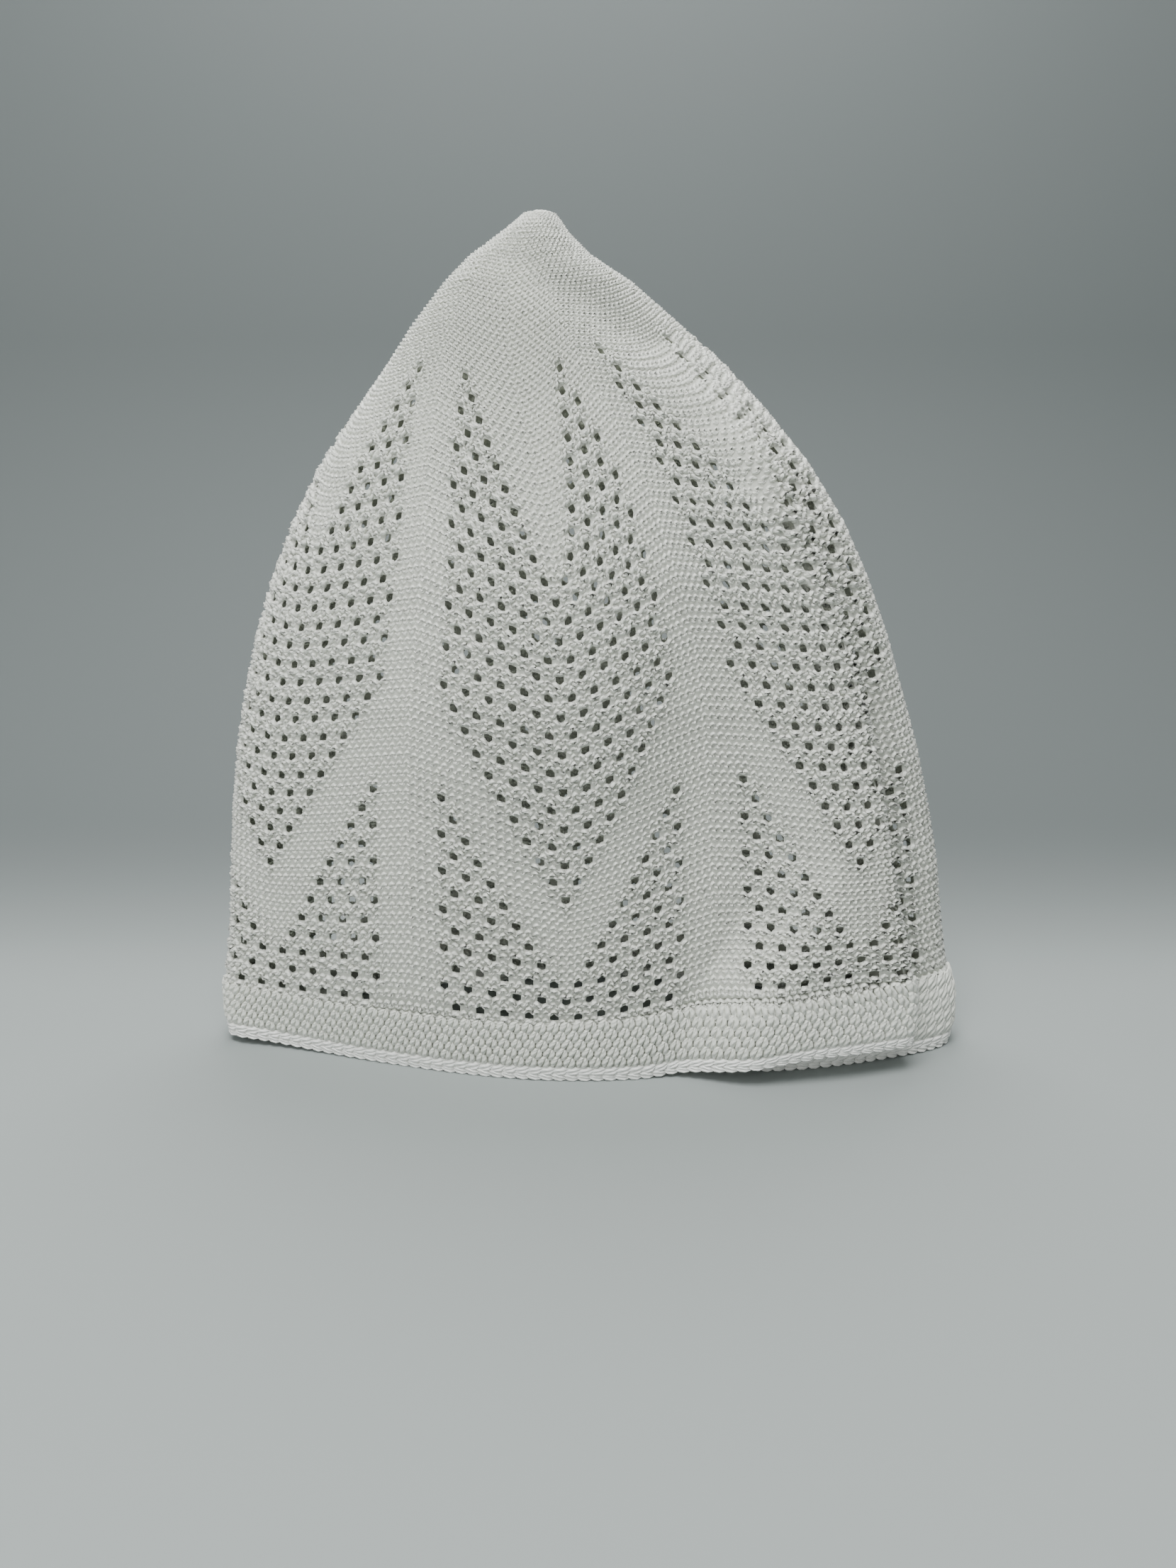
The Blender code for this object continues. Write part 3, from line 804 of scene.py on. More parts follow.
@dataclass
class CrownCourses:
    """The crown's courses of yarn loops, of a finer yarn towards the tip.

    Lengths are in metres, a loop's swing is a share of its width, and its height, lean
    and sway are shares of a row and of a loop.
    """

    chart: LaceChart
    maker: MeshMaker
    course_step: float = 0.5
    loops_each: float = 1.5
    least_loops: int = 3
    front_points: int = 8
    back_points: int = 6
    sides: int = 3
    front_repeats: tuple[float, float] = (-1.2, 1.65)
    yarn_radius: float = 0.00064
    tip_yarn_radius: float = 0.00048
    usual_spacing: float = 0.0022
    spacing_limits: tuple[float, float] = (0.85, 1.60)
    least_slope: float = 0.5
    fold_calm: float = 0.80
    fold_margin: float = 0.06
    loop_swing: float = 0.145
    loop_height: float = 0.28
    lean: float = 0.05
    loop_relief: float = 0.00022
    top_loop_relief: float = 0.00036
    relief_phase: float = 0.25
    relief_wobble: float = 0.25
    tuft_relief: float = 0.00040
    top_rows: tuple[float, float] = (18.0, 28.0)
    plain_wobble: float = 0.035
    lace_wobble: float = 0.050
    plain_swell: float = 0.07
    lace_swell: float = 0.17
    lace_relief: float = 0.00016
    waves: tuple[tuple[float, float], ...] = ((163.0, 9.1), (97.0, -5.3), (251.0, 13.7))
    other_wobble: tuple[float, float] = (0.37, 0.21)
    group_rows: tuple[float, ...] = (-1.0, 5.5, 12.0, 19.0, 28.0)

    def loop_turns(self, each: int) -> Array:
        """The turns of all loops of a course, with more points where the cap faces the front.

        Args:
            each: loops to one repeat.

        Returns:
            The turn at each point, 2 pi to a loop.
        """
        repeats = self.chart.walls.repeats
        loop = np.arange(each * repeats)
        repeat = np.mod(loop / each - self.front_repeats[0], repeats)
        is_front = repeat < self.front_repeats[1] - self.front_repeats[0]
        count = np.where(is_front, self.front_points, self.back_points)
        start = np.repeat(np.cumsum(count) - count, count)
        within = (np.arange(count.sum()) - start) / np.repeat(count, count)
        return 2.0 * math.pi * (np.repeat(loop, count) + within)

    def course(self, row: float) -> MeshArrays:
        """One course of loops as a closed tube.

        A loop runs on by its own width as the turn goes once round: along it is the turn
        plus a swing of the sine of twice the turn, up it is the cosine, and out from the
        wall it is the cosine of twice the turn, so that heads and feet stand proud and the
        legs sink between them. The yarn is thicker where the courses lie further apart,
        which is their difference in height over the wall's slope.

        Args:
            row: the course's row.

        Returns:
            Vertices, quads and UV pairs.
        """
        walls = self.chart.walls
        stitches = float(self.chart.stitches(row))
        each = max(self.least_loops, int(round(self.loops_each * stitches)))
        turn = self.loop_turns(each)
        along = turn / (2.0 * math.pi) + self.loop_swing * np.sin(2.0 * turn)
        rise = 0.5 * self.loop_height * np.cos(turn)
        repeat = (along + 0.5) / each + self.lean * rise / each
        on_row = np.full_like(turn, row)
        lace = soften(self.chart.is_lace(off_middle(repeat) * stitches, on_row), self.front_points)
        calm = 1.0 - self.fold_calm * soften(self.is_folded(repeat, on_row), self.front_points)
        shift, row_shift = self.other_wobble
        wobble = self.wobble(repeat, row) * calm
        other = self.wobble(repeat + shift, row + row_shift) * calm
        sway = (self.plain_wobble + self.lace_wobble * lace) * wobble
        rows, near = self.chart.part_courses(repeat, row + rise + sway, row)
        height = self.chart.height(repeat, rows)
        points, normals = walls.locate(repeat / walls.repeats, height, True)
        proud = np.interp(row, self.top_rows, (self.loop_relief, self.top_loop_relief))
        relief = (proud * (np.cos(2.0 * turn + self.relief_phase) + self.relief_wobble * wobble)
                  + self.tuft_relief * near * calm + self.lace_relief * lace * other)
        climb = self.chart.height(repeat, rows + self.course_step) - height
        slope = np.maximum(np.hypot(normals[:, 0], normals[:, 1]), self.least_slope)
        spacing = soften(climb / slope, self.front_points) / self.usual_spacing
        radius = np.interp(row, self.top_rows, (self.yarn_radius, self.tip_yarn_radius))
        radius = radius * np.clip(spacing, *self.spacing_limits)
        radius = radius * (1.0 + (self.plain_swell + self.lace_swell * lace) * other)
        return ring_tube(points + relief[:, None] * normals, normals, radius, radius, self.sides)

    def is_folded(self, repeat: Array, row: Array) -> Array:
        """Whether places lie on the pleat's bend or tucked in under it, as 1 or 0.

        Args:
            repeat: repeats counted round.
            row: rows counted up.

        Returns:
            1 for each place in the pleat and 0 for the others.
        """
        height = self.chart.height(repeat, row)
        turned = np.mod(repeat, self.chart.walls.repeats)
        edge, under = (column(LIES, "height", height, name) for name in ("edge", "under"))
        return ((turned > edge - self.fold_margin) & (turned < under)).astype(float)

    def wobble(self, repeat: Array, row: float) -> Array:
        """A small unevenness that changes from stitch to stitch: the mean of some waves."""
        return sum(np.sin(repeat * by_repeat + row * by_row)
                   for by_repeat, by_row in self.waves) / len(self.waves)

    def build(self) -> list[bpy.types.Object]:
        """All courses, in groups that each make one piece.

        Returns:
            The pieces, from the band up.
        """
        material = Finish.CROWN.material()
        last = self.chart.last_row + 0.5 * self.course_step
        rows = np.arange(self.chart.first_row, last, self.course_step)
        limits = (-math.inf, *self.group_rows, math.inf)
        pieces = []
        for number, (low, high) in enumerate(zip(limits[:-1], limits[1:]), start=1):
            courses = [self.course(float(row)) for row in rows if low <= row < high]
            points, faces, uv = join_parts(courses)
            pieces.append(self.maker.add(f"crown_courses_{number}", points, faces, material, uv))
        return pieces


@dataclass
class GatheredTip:
    """The yarn that gathers the tip: wound inwards in a flat spiral, and back below."""

    form: CapForm
    maker: MeshMaker
    height: float = 0.2216
    turns: float = 4.6
    points: int = 200
    closing: float = 0.94
    sunk: float = 0.0003
    dome: float = 0.0006
    ripple: float = 0.00012
    ripples: float = 5.3
    layer: float = 0.0009
    half_thickness: float = 0.00058
    half_width: float = 0.00072
    sides: int = 6

    def build(self) -> bpy.types.Object:
        """Wind the yarn: an oval spiral that closes evenly, domed and slightly rippled.

        Returns:
            The piece.
        """
        line, _, _ = self.form.plan_line(self.height)
        low, high = line.min(axis=0), line.max(axis=0)
        middle, half = 0.5 * (low + high), 0.5 * (high - low)
        along = np.linspace(0.0, 1.0, self.points)
        turn = 2.0 * math.pi * self.turns * along
        share = 1.0 - self.closing * along
        rise = self.dome * (1.0 - share ** 2) + self.ripple * np.cos(turn * self.ripples)
        spiral = np.stack((middle[0] + half[0] * share * np.cos(turn),
                           middle[1] + half[1] * share * np.sin(turn),
                           self.height - self.sunk + rise), 1)
        below = spiral[::-1] - np.array([0.0, 0.0, self.layer])
        loop = np.vstack((spiral, below))
        up = np.broadcast_to(np.array([0.0, 0.0, 1.0]), loop.shape)
        points, faces, uv = ring_tube(loop, up, self.half_thickness, self.half_width, self.sides)
        return self.maker.add("crown_tip", points, faces, Finish.CROWN.material(), uv)


@dataclass
class CrownGround:
    """The knit's ground: a thin sheet behind the loops, open at each eyelet.

    It is a grid of one stitch by one row. A pair of cells with an eyelet gives way to a
    ring round a hole.
    """

    chart: LaceChart
    maker: MeshMaker
    first_row: float = -7.5
    depth: float = 0.00005
    top_depth: float = 0.00030
    top_rows: tuple[float, float] = (18.0, 28.0)
    thickness: float = 0.0004
    corner_share: float = 0.35
    middle_share: float = 0.43

    def columns(self, row: float) -> Array:
        """Where the columns of one repeat stand, in repeats from the middle between two axes.

        Above the widest row the stitches next to an axis run together: columns near the
        middle keep their stitch, and the others are squeezed between them and the axis.

        Args:
            row: the row.

        Returns:
            One place for each column.
        """
        half = self.chart.half
        stitches = float(self.chart.stitches(row))
        kept = 0.5 * stitches - 1.0
        number = np.arange(-half, half)
        size = np.abs(number).astype(float)
        if kept < 1.0:
            place = 0.5 * stitches * size / half
        else:
            squeezed = kept + (size - kept) * (1.0 / (half - kept))
            place = np.where(size <= kept, size, squeezed)
        return np.sign(number) * place / stitches

    def places(self, repeat: Array, row: Array) -> Array:
        """Places of the ground, a little inside the wall's middle.

        Args:
            repeat: repeats counted round.
            row: rows counted up.

        Returns:
            A point for each.
        """
        walls = self.chart.walls
        height = self.chart.height(repeat, row)
        points, normals = walls.locate(repeat / walls.repeats, height, True)
        depth = np.interp(row, self.top_rows, (self.depth, self.top_depth))
        return points - depth[:, None] * normals

    def build(self) -> bpy.types.Object:
        """Lay the grid and open its holes.

        The grid's rows are one apart, so that an eyelet stands in the middle of its two
        cells, and the last one is the chart's. The hole's corners are the cells' corners,
        drawn in towards their mean.

        Returns:
            The sheet, with its thickness still a modifier.
        """
        chart, repeats = self.chart, self.chart.walls.repeats
        rows = np.append(np.arange(self.first_row, chart.last_row - 0.5, 1.0), chart.last_row)
        columns = np.array([self.columns(row) for row in rows])
        middles = np.arange(repeats)[:, None] + 0.5
        repeat = (middles[None] + columns[:, None, :]).reshape(len(rows), -1)
        outer = self.places(repeat.ravel(), np.repeat(rows, repeat.shape[1]))
        index = np.arange(repeat.size).reshape(repeat.shape)
        low, high = index[:-1], index[1:]
        stand = np.tile(np.arange(-chart.half, chart.half, dtype=float), repeats)
        opened = chart.is_open(stand[None, :], rows[:-1, None] + 0.5)
        taken = opened | np.roll(opened, -1, 1)
        before_low, after_low = np.roll(low, 1, 1), np.roll(low, -1, 1)
        before_high, after_high = np.roll(high, 1, 1), np.roll(high, -1, 1)
        cells = np.stack((low, after_low, after_high, high), -1)[~taken]
        rim = np.stack((before_low, low, after_low, after_high, high, before_high), -1)[opened]
        corners = outer[rim]
        centre = corners.mean(axis=1, keepdims=True)
        inner = centre + (corners - centre) * self.hole_shares()
        inside = len(outer) + np.arange(rim.size).reshape(rim.shape)
        holes = np.stack((rim, np.roll(rim, -1, 1), np.roll(inside, -1, 1), inside), -1)
        points = np.concatenate((outer, inner.reshape(-1, 3)))
        faces = np.concatenate((cells, holes.reshape(-1, 4)))
        sheet = self.maker.add("crown_ground", points, faces, Finish.GROUND.material())
        solid = sheet.modifiers.new("thickness", "SOLIDIFY")
        solid.thickness = self.thickness
        solid.offset = 0.0
        return sheet

    def hole_shares(self) -> Array:
        """How much of its cells an eyelet's hole takes, at each of its six corners."""
        corner, middle = self.corner_share, self.middle_share
        return np.array([corner, middle, corner, corner, middle, corner])[:, None]


@dataclass(frozen=True)
class StitchRow:
    """One row of leaf-shaped stitches laid round the rim, in metres and radians."""

    height: float
    phase: float
    length: float
    width: float
    thickness: float
    lean: float
    out: float = 0.0
    tilt: float = 0.0


@dataclass(frozen=True)
class CoreWall:
    """The plain wall behind some stitches, in metres."""

    low: float
    high: float
    half: float


BAND_ROW = StitchRow(height=0.0056, phase=0.0, length=0.0043, width=0.0031, thickness=0.0024,
                     lean=0.42, out=0.0005, tilt=0.0005)
BAND_PITCH = 0.0025
BAND_ROWS = tuple(replace(BAND_ROW, height=BAND_ROW.height + BAND_PITCH * number,
                          phase=0.5 * (number % 2)) for number in range(5))
BAND_CORE = CoreWall(low=0.0043, high=0.0172, half=0.0004)
EDGE_ROWS = (
    StitchRow(height=0.0031, phase=0.20, length=0.0048, width=0.0021, thickness=0.0023,
              lean=1.30, out=0.0005),
    StitchRow(height=0.0012, phase=0.00, length=0.0046, width=0.0019, thickness=0.0024,
              lean=1.75, out=0.0004),
)
EDGE_CORE = CoreWall(low=0.0006, high=0.0040, half=0.0005)


@dataclass
class RimStitches:
    """Rows of leaf-shaped stitches round the rim, all of one count and two strands each."""

    walls: WallMap
    maker: MeshMaker
    stitches: int = 164
    rings: int = 6
    sides: int = 6
    core_points: int = 720
    strand_share: float = 0.56
    bluntness: float = 0.60
    end_swell: float = 0.03
    lean_change: float = 0.10
    length_change: float = 0.06
    height_change: float = 0.00015
    out_change: float = 0.0001
    wave_numbers: tuple[float, float] = (12.9898, 7.23)
    wave_shifts: tuple[float, float] = (2500.0, 2.7)
    ring_length: float = 0.7
    rise_from: float = 0.0040
    flap_rise: float = 0.45
    under_rise: float = 0.40

    def __post_init__(self) -> None:
        """Find where the rim is drawn up and down again, as shares of the girth."""
        line, place, _ = self.walls.form.plan_line(self.walls.form.sizes.band_top)
        length = arc_lengths(line)
        half_flap, half_rear = 0.5 * Place.FLAP_EDGE, 0.5 * (Place.RIGHT_END + Place.ROUND)
        pins = [half_flap, Place.FLAP_EDGE, Place.RIGHT_END, half_rear]
        self.knots = np.interp(pins, place, length) / length[-1]

    def raised(self, share: Array, level: Array) -> Array:
        """Heights drawn up where the rim is taller: over the pleat and the wall under it.

        Args:
            share: share of the way round.
            level: height on the plain rim.

        Returns:
            The height there.
        """
        amounts = (0.0, self.flap_rise, self.under_rise, 0.0)
        taller = np.interp(np.mod(share, 1.0), self.knots, amounts)
        return level + np.maximum(level - self.rise_from, 0.0) * taller

    def unevenness(self, height: float, strand: int) -> Array:
        """A small difference from stitch to stitch: the mean of two waves.

        Args:
            height: the row's height.
            strand: the strand's number.

        Returns:
            One value from -1 to 1 for each stitch, with two empty axes.
        """
        stitch = np.arange(self.stitches)
        waves = (np.sin(stitch * self.wave_numbers[0] + height * self.wave_shifts[0])
                 + np.sin(stitch * self.wave_numbers[1] + strand * self.wave_shifts[1]))
        return 0.5 * waves[:, None, None]

    def rows_of_leaves(self, name: str, rows: tuple[StitchRow, ...],
                       material: bpy.types.Material) -> bpy.types.Object:
        """Every leaf of some rows: two strands side by side that meet at both ends.

        Along a leaf the place runs from -1 to 1 and round each strand the turn runs once;
        the leaf's swell is 1 less the place squared, to a power, a strand's middle lies a
        quarter of the swollen width to its own side, and the leaf leans over and tilts out
        of the wall.

        Args:
            name: the piece's name.
            rows: the rows.
            material: the yarn.

        Returns:
            The piece.
        """
        place = np.sin(np.linspace(-1.0, 1.0, self.rings) * 0.5 * math.pi)
        swell = np.maximum(1.0 - place ** 2, 0.0) ** self.bluntness + self.end_swell
        place, swell = place[None, :, None], swell[None, :, None]
        turn = 2.0 * math.pi * np.arange(self.sides) / self.sides
        stitch = np.arange(self.stitches)
        parts = []
        for number, (row, strand) in enumerate(product(rows, (-1.0, 1.0))):
            girth = float(np.interp(row.height, self.walls.levels, self.walls.girths))
            change = self.unevenness(row.height, number)
            lean = row.lean + self.lean_change * change
            along = 0.5 * row.length * (1.0 + self.length_change * change) * place
            across = strand + 2.0 * self.strand_share * np.cos(turn)
            half = 0.25 * row.width * swell * across[None, None, :]
            right = np.sin(lean) * along + np.cos(lean) * half
            up = np.cos(lean) * along - np.sin(lean) * half + self.height_change * change
            out = (0.5 * row.thickness * swell * np.sin(turn)[None, None, :]
                   + row.tilt * place + row.out + self.out_change * change)
            share = ((stitch + row.phase) / self.stitches)[:, None, None] + right / girth
            level = self.raised(share, row.height + up).ravel()
            points, normals = self.walls.locate(share.ravel(), np.maximum(level, 0.0), False)
            points = points + out.ravel()[:, None] * normals
            points[:, 2] = np.maximum(points[:, 2] + np.minimum(level, 0.0), 0.0)
            parts.append((points, *self.leaf_faces()))
        points, faces, uv = join_parts(parts)
        return self.maker.add(name, points, faces, material, uv)

    def leaf_faces(self) -> tuple[Array, Array]:
        """The faces of one strand of every leaf of a row, whose rings follow one another.

        Returns:
            Quads and a UV pair for each corner.
        """
        sides = self.sides
        leaf = np.arange(self.stitches)[:, None, None] * self.rings * sides
        ring = np.arange(self.rings - 1)[None, :, None]
        corner = np.arange(sides)[None, None, :]
        here = leaf + ring * sides + corner
        beside = leaf + ring * sides + (corner + 1) % sides
        quads = np.stack((here, here + sides, beside + sides, beside), -1).reshape(-1, 4)
        u_low = np.broadcast_to(ring * self.ring_length, here.shape)
        v_low = np.broadcast_to(corner / sides, here.shape)
        u_high, v_high = u_low + self.ring_length, v_low + 1.0 / sides
        uv = np.stack((u_low, v_low, u_high, v_low, u_high, v_high, u_low, v_high), -1)
        return quads, uv.reshape(-1, 2)

    def core(self, name: str, wall: CoreWall, material: bpy.types.Material) -> bpy.types.Object:
        """A thin closed wall behind the stitches, so that no light shows between them.

        Its profile is a rectangle of four rings: low and high on the outside, then high
        and low on the inside.

        Args:
            name: the piece's name.
            wall: its sizes.
            material: its finish.

        Returns:
            The piece.
        """
        count = self.core_points
        share = np.arange(count) / count
        profile = ((wall.low, wall.half), (wall.high, wall.half), (wall.high, -wall.half),
                   (wall.low, -wall.half))
        rings = []
        for height, out in profile:
            level = self.raised(share, np.full(count, height))
            points, normals = self.walls.locate(share, level, False)
            rings.append(points + out * normals)
        at, ring = np.arange(count)[None, :], np.arange(len(profile))[:, None]
        after, above = (at + 1) % count, (ring + 1) % len(profile)
        quads = np.stack((ring * count + at, ring * count + after, above * count + after,
                          above * count + at), -1).reshape(-1, 4)
        return self.maker.add(name, np.concatenate(rings), quads, material)


def math_node(tree: bpy.types.NodeTree, operation: str,
              *values: float | bpy.types.NodeSocket) -> bpy.types.NodeSocket:
    """One math node, fed by numbers and by other nodes.

    Args:
        tree: the node tree.
        operation: what it works out.
        values: its inputs in order, each a number or another node's output.

    Returns:
        Its output.
    """
    node = tree.nodes.new("ShaderNodeMath")
    node.operation = operation
    for socket, value in zip(node.inputs, values):
        if isinstance(value, bpy.types.NodeSocket):
            tree.links.new(value, socket)
        else:
            socket.default_value = value
    return node.outputs[0]


def spread_node(tree: bpy.types.NodeTree, curve: str, value: bpy.types.NodeSocket, low: float,
                high: float) -> bpy.types.NodeSocket:
    """A value spread out, so that it is 0 at its low end and 1 at its high end.

    Args:
        tree: the node tree.
        curve: how it rises between the two.
        value: the value.
        low: its low end.
        high: its high end.

    Returns:
        The spread value's output.
    """
    node = tree.nodes.new("ShaderNodeMapRange")
    node.interpolation_type = curve
    node.inputs["From Min"].default_value = low
    node.inputs["From Max"].default_value = high
    tree.links.new(value, node.inputs["Value"])
    return node.outputs["Result"]


@dataclass(frozen=True)
class YarnRelief:
    """The relief that all yarns share: slanted ply lines along them and fine fibres over these.

    It reads the yarn's own map, where u is millimetres along it and v the turn round it.
    """

    name: str = "yarn_relief"
    turns_per_mm: float = 0.85
    plies: float = 3.0
    fibre_scale: float = 2200.0
    fibre_detail: float = 2.0
    patch_scale: float = 420.0
    patch_detail: float = 3.0
    patch_range: tuple[float, float] = (0.35, 0.65)

    def group(self) -> bpy.types.NodeTree:
        """The relief and the yarn's tone as a node group, made once.

        Returns:
            The group, with the two depths as inputs, and the relief and a tone from 0 to 1
            as outputs.
        """
        found = bpy.data.node_groups.get(self.name)
        if found:
            return found
        group = bpy.data.node_groups.new(self.name, "ShaderNodeTree")
        for name, way in (("Twist Depth", "INPUT"), ("Fibre Depth", "INPUT"),
                          ("Relief", "OUTPUT"), ("Tone", "OUTPUT")):
            group.interface.new_socket(name=name, in_out=way, socket_type="NodeSocketFloat")
        nodes, links = group.nodes, group.links
        into = nodes.new("NodeGroupInput")
        outof = nodes.new("NodeGroupOutput")
        uv = nodes.new("ShaderNodeUVMap")
        uv.uv_map = YARN_MAP
        split = nodes.new("ShaderNodeSeparateXYZ")
        links.new(uv.outputs["UV"], split.inputs["Vector"])
        round_plies = math_node(group, "MULTIPLY", split.outputs["Y"], self.plies)
        turns = math_node(group, "MULTIPLY_ADD", split.outputs["X"], self.turns_per_mm, round_plies)
        wave = math_node(group, "SINE", math_node(group, "MULTIPLY", turns, 2.0 * math.pi))
        ply = math_node(group, "MULTIPLY", wave, into.outputs["Twist Depth"])
        fibres = self.noise(group, self.fibre_scale, self.fibre_detail)
        fuzz = math_node(group, "MULTIPLY", fibres, into.outputs["Fibre Depth"])
        links.new(math_node(group, "ADD", ply, fuzz), outof.inputs["Relief"])
        patches = self.noise(group, self.patch_scale, self.patch_detail)
        links.new(spread_node(group, "LINEAR", patches, *self.patch_range), outof.inputs["Tone"])
        return group

    @staticmethod
    def noise(tree: bpy.types.NodeTree, scale: float, detail: float) -> bpy.types.NodeSocket:
        """Noise on the object's own coordinates.

        Args:
            tree: the node tree.
            scale: its scale.
            detail: its octaves.

        Returns:
            Its output, from 0 to 1.
        """
        place = tree.nodes.new("ShaderNodeTexCoord")
        noise = tree.nodes.new("ShaderNodeTexNoise")
        noise.inputs["Scale"].default_value = scale
        noise.inputs["Detail"].default_value = detail
        tree.links.new(place.outputs["Object"], noise.inputs["Vector"])
        return noise.outputs["Fac"]


def mixed_colour(tree: bpy.types.NodeTree, share: bpy.types.NodeSocket, first: Triple,
                 second: Triple) -> bpy.types.NodeSocket:
    """Two colours mixed by a share.

    Args:
        tree: the node tree.
        share: 0 for the first colour, 1 for the second.
        first: a colour.
        second: another.

    Returns:
        The mix's output.
    """
    tone = tree.nodes.new("ShaderNodeMix")
    tone.data_type = "RGBA"
    tone.inputs["A"].default_value = (*first, 1.0)
    tone.inputs["B"].default_value = (*second, 1.0)
    tree.links.new(share, tone.inputs["Factor"])
    return tone.outputs["Result"]


@dataclass(frozen=True)
class YarnFinish:
    """The look of one yarn: its colour, gloss, relief and how much light it lets through."""

    name: str
    colour: Triple
    shade: Triple
    roughness: float
    sheen: float
    twist_depth: float
    fibre_depth: float
    translucence: float
    sheen_roughness: float = 0.5
    bump_strength: float = 0.6
    bump_distance: float = 0.00018

    def material(self) -> bpy.types.Material:
        """The finish as a material, made once.

        Returns:
            The material: sheen over a gloss, mixed with light that comes through the yarn.
        """
        found = bpy.data.materials.get(self.name)
        if found:
            return found
        material = bpy.data.materials.new(self.name)
        material.use_nodes = True
        tree = material.node_tree
        nodes, links = tree.nodes, tree.links
        relief = nodes.new("ShaderNodeGroup")
        relief.node_tree = YarnRelief().group()
        relief.inputs["Twist Depth"].default_value = self.twist_depth
        relief.inputs["Fibre Depth"].default_value = self.fibre_depth
        bump = nodes.new("ShaderNodeBump")
        bump.inputs["Strength"].default_value = self.bump_strength
        bump.inputs["Distance"].default_value = self.bump_distance
        links.new(relief.outputs["Relief"], bump.inputs["Height"])
        colour = mixed_colour(tree, relief.outputs["Tone"], self.shade, self.colour)
        shader = nodes["Principled BSDF"]
        shader.inputs["Roughness"].default_value = self.roughness
        shader.inputs["Sheen Weight"].default_value = self.sheen
        shader.inputs["Sheen Roughness"].default_value = self.sheen_roughness
        through = nodes.new("ShaderNodeBsdfTranslucent")
        for surface, name in ((shader, "Base Color"), (through, "Color")):
            links.new(colour, surface.inputs[name])
            links.new(bump.outputs["Normal"], surface.inputs["Normal"])
        both = nodes.new("ShaderNodeMixShader")
        both.inputs["Fac"].default_value = self.translucence
        links.new(shader.outputs["BSDF"], both.inputs[1])
        links.new(through.outputs["BSDF"], both.inputs[2])
        links.new(both.outputs["Shader"], nodes["Material Output"].inputs["Surface"])
        return material


class Finish(Enum):
    """The finishes that the cap's pieces take."""

    CROWN = YarnFinish(name="crown_knit", colour=(0.955, 0.975, 0.905), shade=(0.915, 0.935, 0.865),
                       roughness=0.38, sheen=0.30, twist_depth=0.50, fibre_depth=0.30,
                       translucence=0.22)
    BAND = YarnFinish(name="band_knit", colour=(0.84, 0.86, 0.79), shade=(0.77, 0.79, 0.72),
                      roughness=0.46, sheen=0.20, twist_depth=0.80, fibre_depth=0.90,
                      translucence=0.10)
    # Painted light: the edge's colours are lighter than the crown's yarn, standing in for the light
    # that the hem's lip catches
    EDGE = YarnFinish(name="edge_knit", colour=(0.98, 0.99, 0.95), shade=(0.95, 0.96, 0.92),
                      roughness=0.46, sheen=0.30, twist_depth=0.45, fibre_depth=0.50,
                      translucence=0.05)
    GROUND = YarnFinish(name="ground_knit", colour=(0.95, 0.965, 0.90), shade=(0.93, 0.945, 0.88),
                        roughness=0.75, sheen=0.10, twist_depth=0.0, fibre_depth=0.4,
                        translucence=0.48)

    def material(self) -> bpy.types.Material:
        """The finish's material."""
        return self.value.material()


@dataclass(frozen=True)
class Lamp:
    """One soft square light: where it stands, in metres, and its power in watts."""

    name: str
    place: Triple
    width: float
    power: float

    def light(self, target: Triple) -> None:
        """Add the light to the scene, turned towards a point.

        Args:
            target: the point.
        """
        light = bpy.data.lights.new(self.name, "AREA")
        light.shape = "SQUARE"
        light.size = self.width
        light.energy = self.power
        lamp = bpy.data.objects.new(self.name, light)
        bpy.context.scene.collection.objects.link(lamp)
        lamp.location = self.place
        away = np.array(self.place) - np.array(target)
        level = math.hypot(away[0], away[1])
        lamp.rotation_euler = (math.atan2(level, away[2]), 0.0, math.atan2(away[0], -away[1]))


LAMPS = (
    Lamp("key", place=(-0.08, -0.50, 1.10), width=0.60, power=18.0),
    Lamp("fill", place=(-0.50, -0.82, 0.45), width=0.70, power=4.6),
    Lamp("back", place=(0.0, 0.24, 0.62), width=0.40, power=4.5),
)


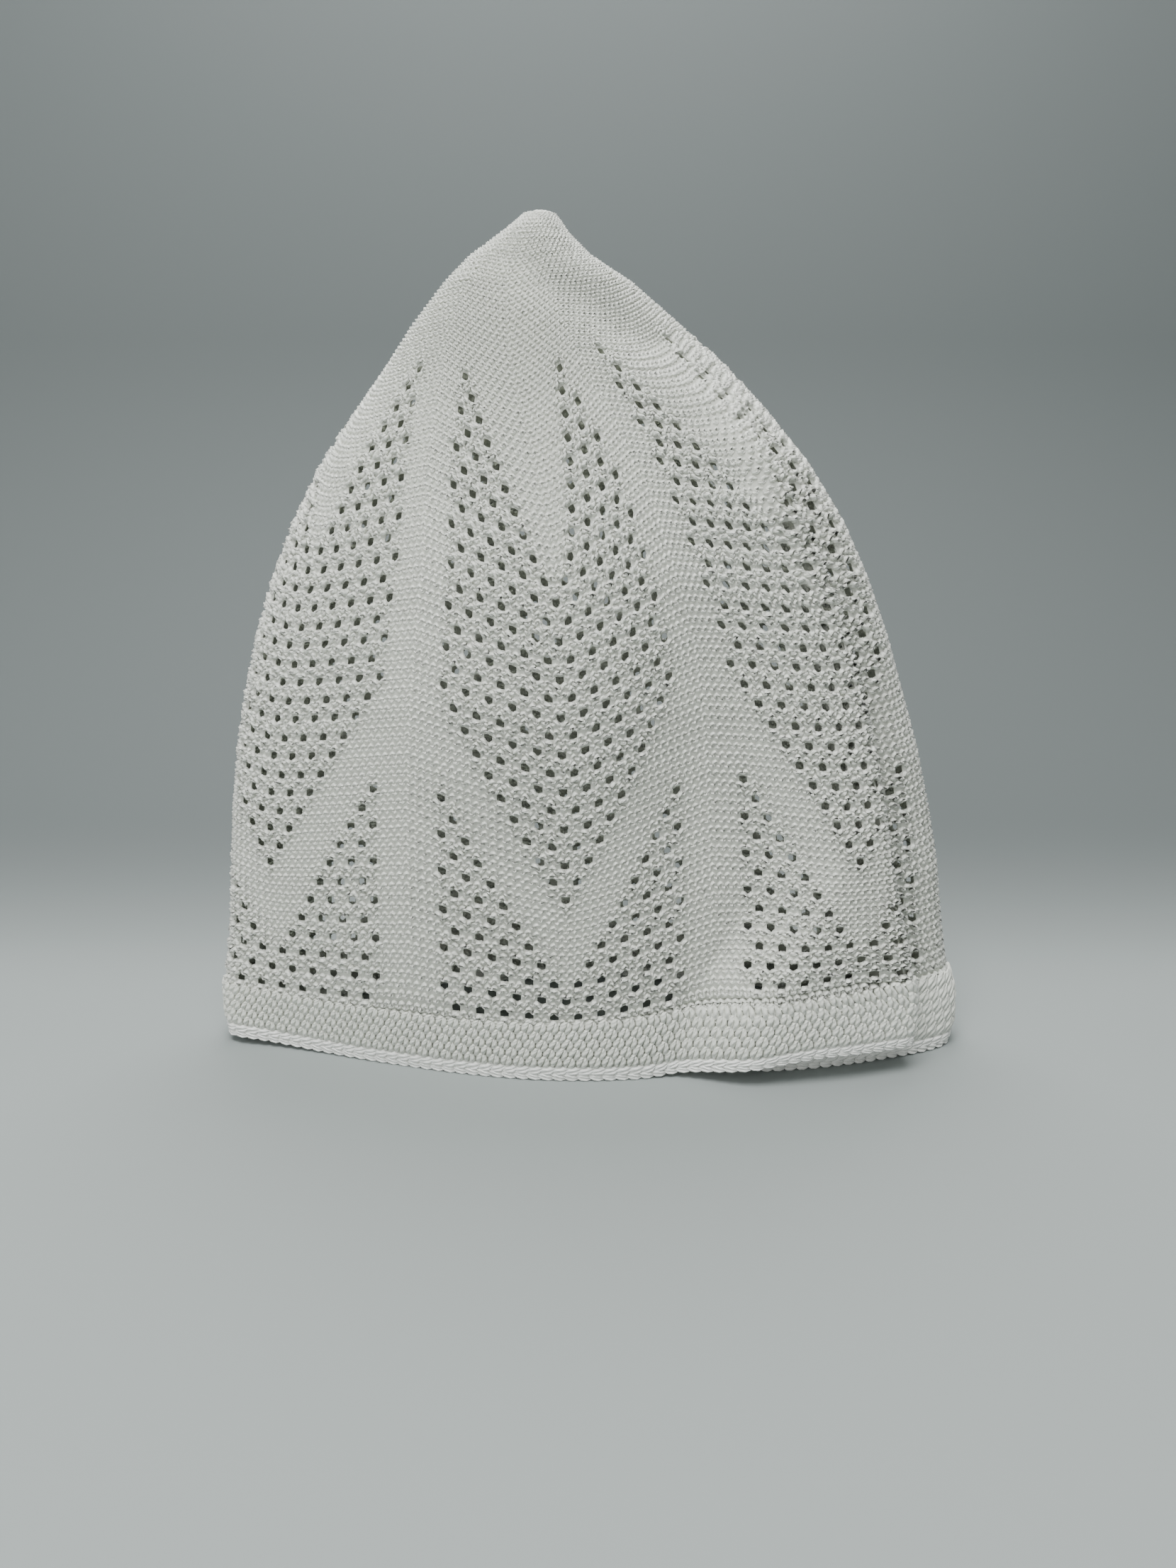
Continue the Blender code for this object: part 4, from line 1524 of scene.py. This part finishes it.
@dataclass
class Studio:
    """A pale floor that curves up into a plain backdrop, soft light, and the camera."""

    maker: MeshMaker
    floor_colour: Triple = (0.286, 0.316, 0.310)
    # Painted shade: the wall's colour is darker than the floor's, standing in for the lesser light
    # on the upright wall
    painted_wall_shade: Triple = (0.112, 0.129, 0.128)
    roughness: float = 0.8
    wall_from: float = 0.02
    wall_to: float = 0.18
    floor_back: float = 0.08
    floor_reach: float = 3.0
    bend: float = 0.24
    bend_points: int = 24
    top: float = 2.4
    half_width: float = 5.0
    light_target: Triple = (0.0, 0.0, 0.10)
    sky_colour: Triple = (0.97, 1.0, 0.98)
    sky_strength: float = 0.24
    camera_distance: float = 0.3165
    camera_height: float = 0.1468
    camera_pitch: float = 12.5
    focal_pixels: float = 1662.0
    sensor_height: float = 24.0

    def backdrop(self) -> None:
        """Floor and wall as one swept strip: flat, a quarter circle, then upright."""
        turn = np.linspace(0.0, 0.5 * math.pi, self.bend_points)
        y = np.concatenate(([-self.floor_reach], self.floor_back + self.bend * np.sin(turn),
                            [self.floor_back + self.bend]))
        z = np.concatenate(([0.0], self.bend * (1.0 - np.cos(turn)), [self.top]))
        count = len(y)
        points = np.concatenate([np.stack((np.full(count, x), y, z), 1)
                                 for x in (-self.half_width, self.half_width)])
        at = np.arange(count - 1)
        faces = np.stack((at, at + count, at + count + 1, at + 1), 1)
        self.maker.add("studio_floor", points, faces, self.backdrop_material())

    def backdrop_material(self) -> bpy.types.Material:
        """Pale on the floor, darker on the wall, with a soft change behind the cap; the wall's
        darkness is painted shade, for the lesser light that falls on the upright wall.

        Returns:
            The material.
        """
        material = bpy.data.materials.new("plain_backdrop")
        material.use_nodes = True
        tree = material.node_tree
        shader = tree.nodes["Principled BSDF"]
        shader.inputs["Roughness"].default_value = self.roughness
        place = tree.nodes.new("ShaderNodeTexCoord")
        split = tree.nodes.new("ShaderNodeSeparateXYZ")
        tree.links.new(place.outputs["Object"], split.inputs["Vector"])
        # The colour darkens from floor to wall: painted shade
        depth = spread_node(tree, "SMOOTHSTEP", split.outputs["Y"], self.wall_from, self.wall_to)
        colour = mixed_colour(tree, depth, self.floor_colour, self.painted_wall_shade)
        tree.links.new(colour, shader.inputs["Base Color"])
        return material

    def lights(self) -> None:
        """A wide soft key from above, a fill from the front, a back light and a faint sky."""
        for lamp in LAMPS:
            lamp.light(self.light_target)
        world = bpy.data.worlds.new("soft_sky")
        world.use_nodes = True
        sky = world.node_tree.nodes["Background"]
        sky.inputs["Color"].default_value = (*self.sky_colour, 1.0)
        sky.inputs["Strength"].default_value = self.sky_strength
        bpy.context.scene.world = world

    def camera(self, sizes: FormSizes) -> None:
        """The camera at the viewing angle: level with the crown and tipped down.

        Args:
            sizes: the form's sizes, whose centre the camera faces.
        """
        data = bpy.data.cameras.new("view")
        data.sensor_fit = "VERTICAL"
        data.sensor_height = self.sensor_height
        data.lens = self.focal_pixels / IMAGE_HEIGHT * self.sensor_height
        camera = bpy.data.objects.new("view", data)
        bpy.context.scene.collection.objects.link(camera)
        camera.location = (-sizes.centre_x, -self.camera_distance - sizes.centre_y,
                           self.camera_height)
        camera.rotation_euler = (math.radians(90.0 - self.camera_pitch), 0.0, 0.0)
        bpy.context.scene.camera = camera


def place_piece(piece: bpy.types.Object, node: str) -> None:
    """Let a piece ride on the cap's one body and stand for its solid.

    Args:
        piece: the piece.
        node: the solid that it replaces.
    """
    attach(piece, ROOT)
    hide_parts(node)
    LOG.info("%s: %d faces", piece.name, len(piece.data.polygons))


def main() -> None:
    """Build the cap's pieces in order, then the studio."""
    logging.basicConfig(level=logging.INFO, format="%(message)s")
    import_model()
    form = CapForm()
    walls = WallMap(form)
    maker = MeshMaker()
    chart = LaceChart(walls)
    courses = CrownCourses(chart, maker).build() + [GatheredTip(form, maker).build()]
    ground = CrownGround(chart, maker)
    sheet = ground.build()
    for piece in courses + [sheet]:
        place_piece(piece, "crown")
    rim = RimStitches(walls, maker)
    for piece in (rim.rows_of_leaves("rim_band_stitches", BAND_ROWS, Finish.BAND.material()),
                  rim.core("rim_band_core", BAND_CORE, Finish.GROUND.material())):
        place_piece(piece, "rim_band")
    for piece in (rim.rows_of_leaves("hem_edge_stitches", EDGE_ROWS, Finish.EDGE.material()),
                  rim.core("hem_edge_core", EDGE_CORE, Finish.EDGE.material())):
        place_piece(piece, "hem_edge")
    studio = Studio(maker)
    studio.backdrop()
    studio.lights()
    studio.camera(form.sizes)


if __name__ == "__main__":
    main()
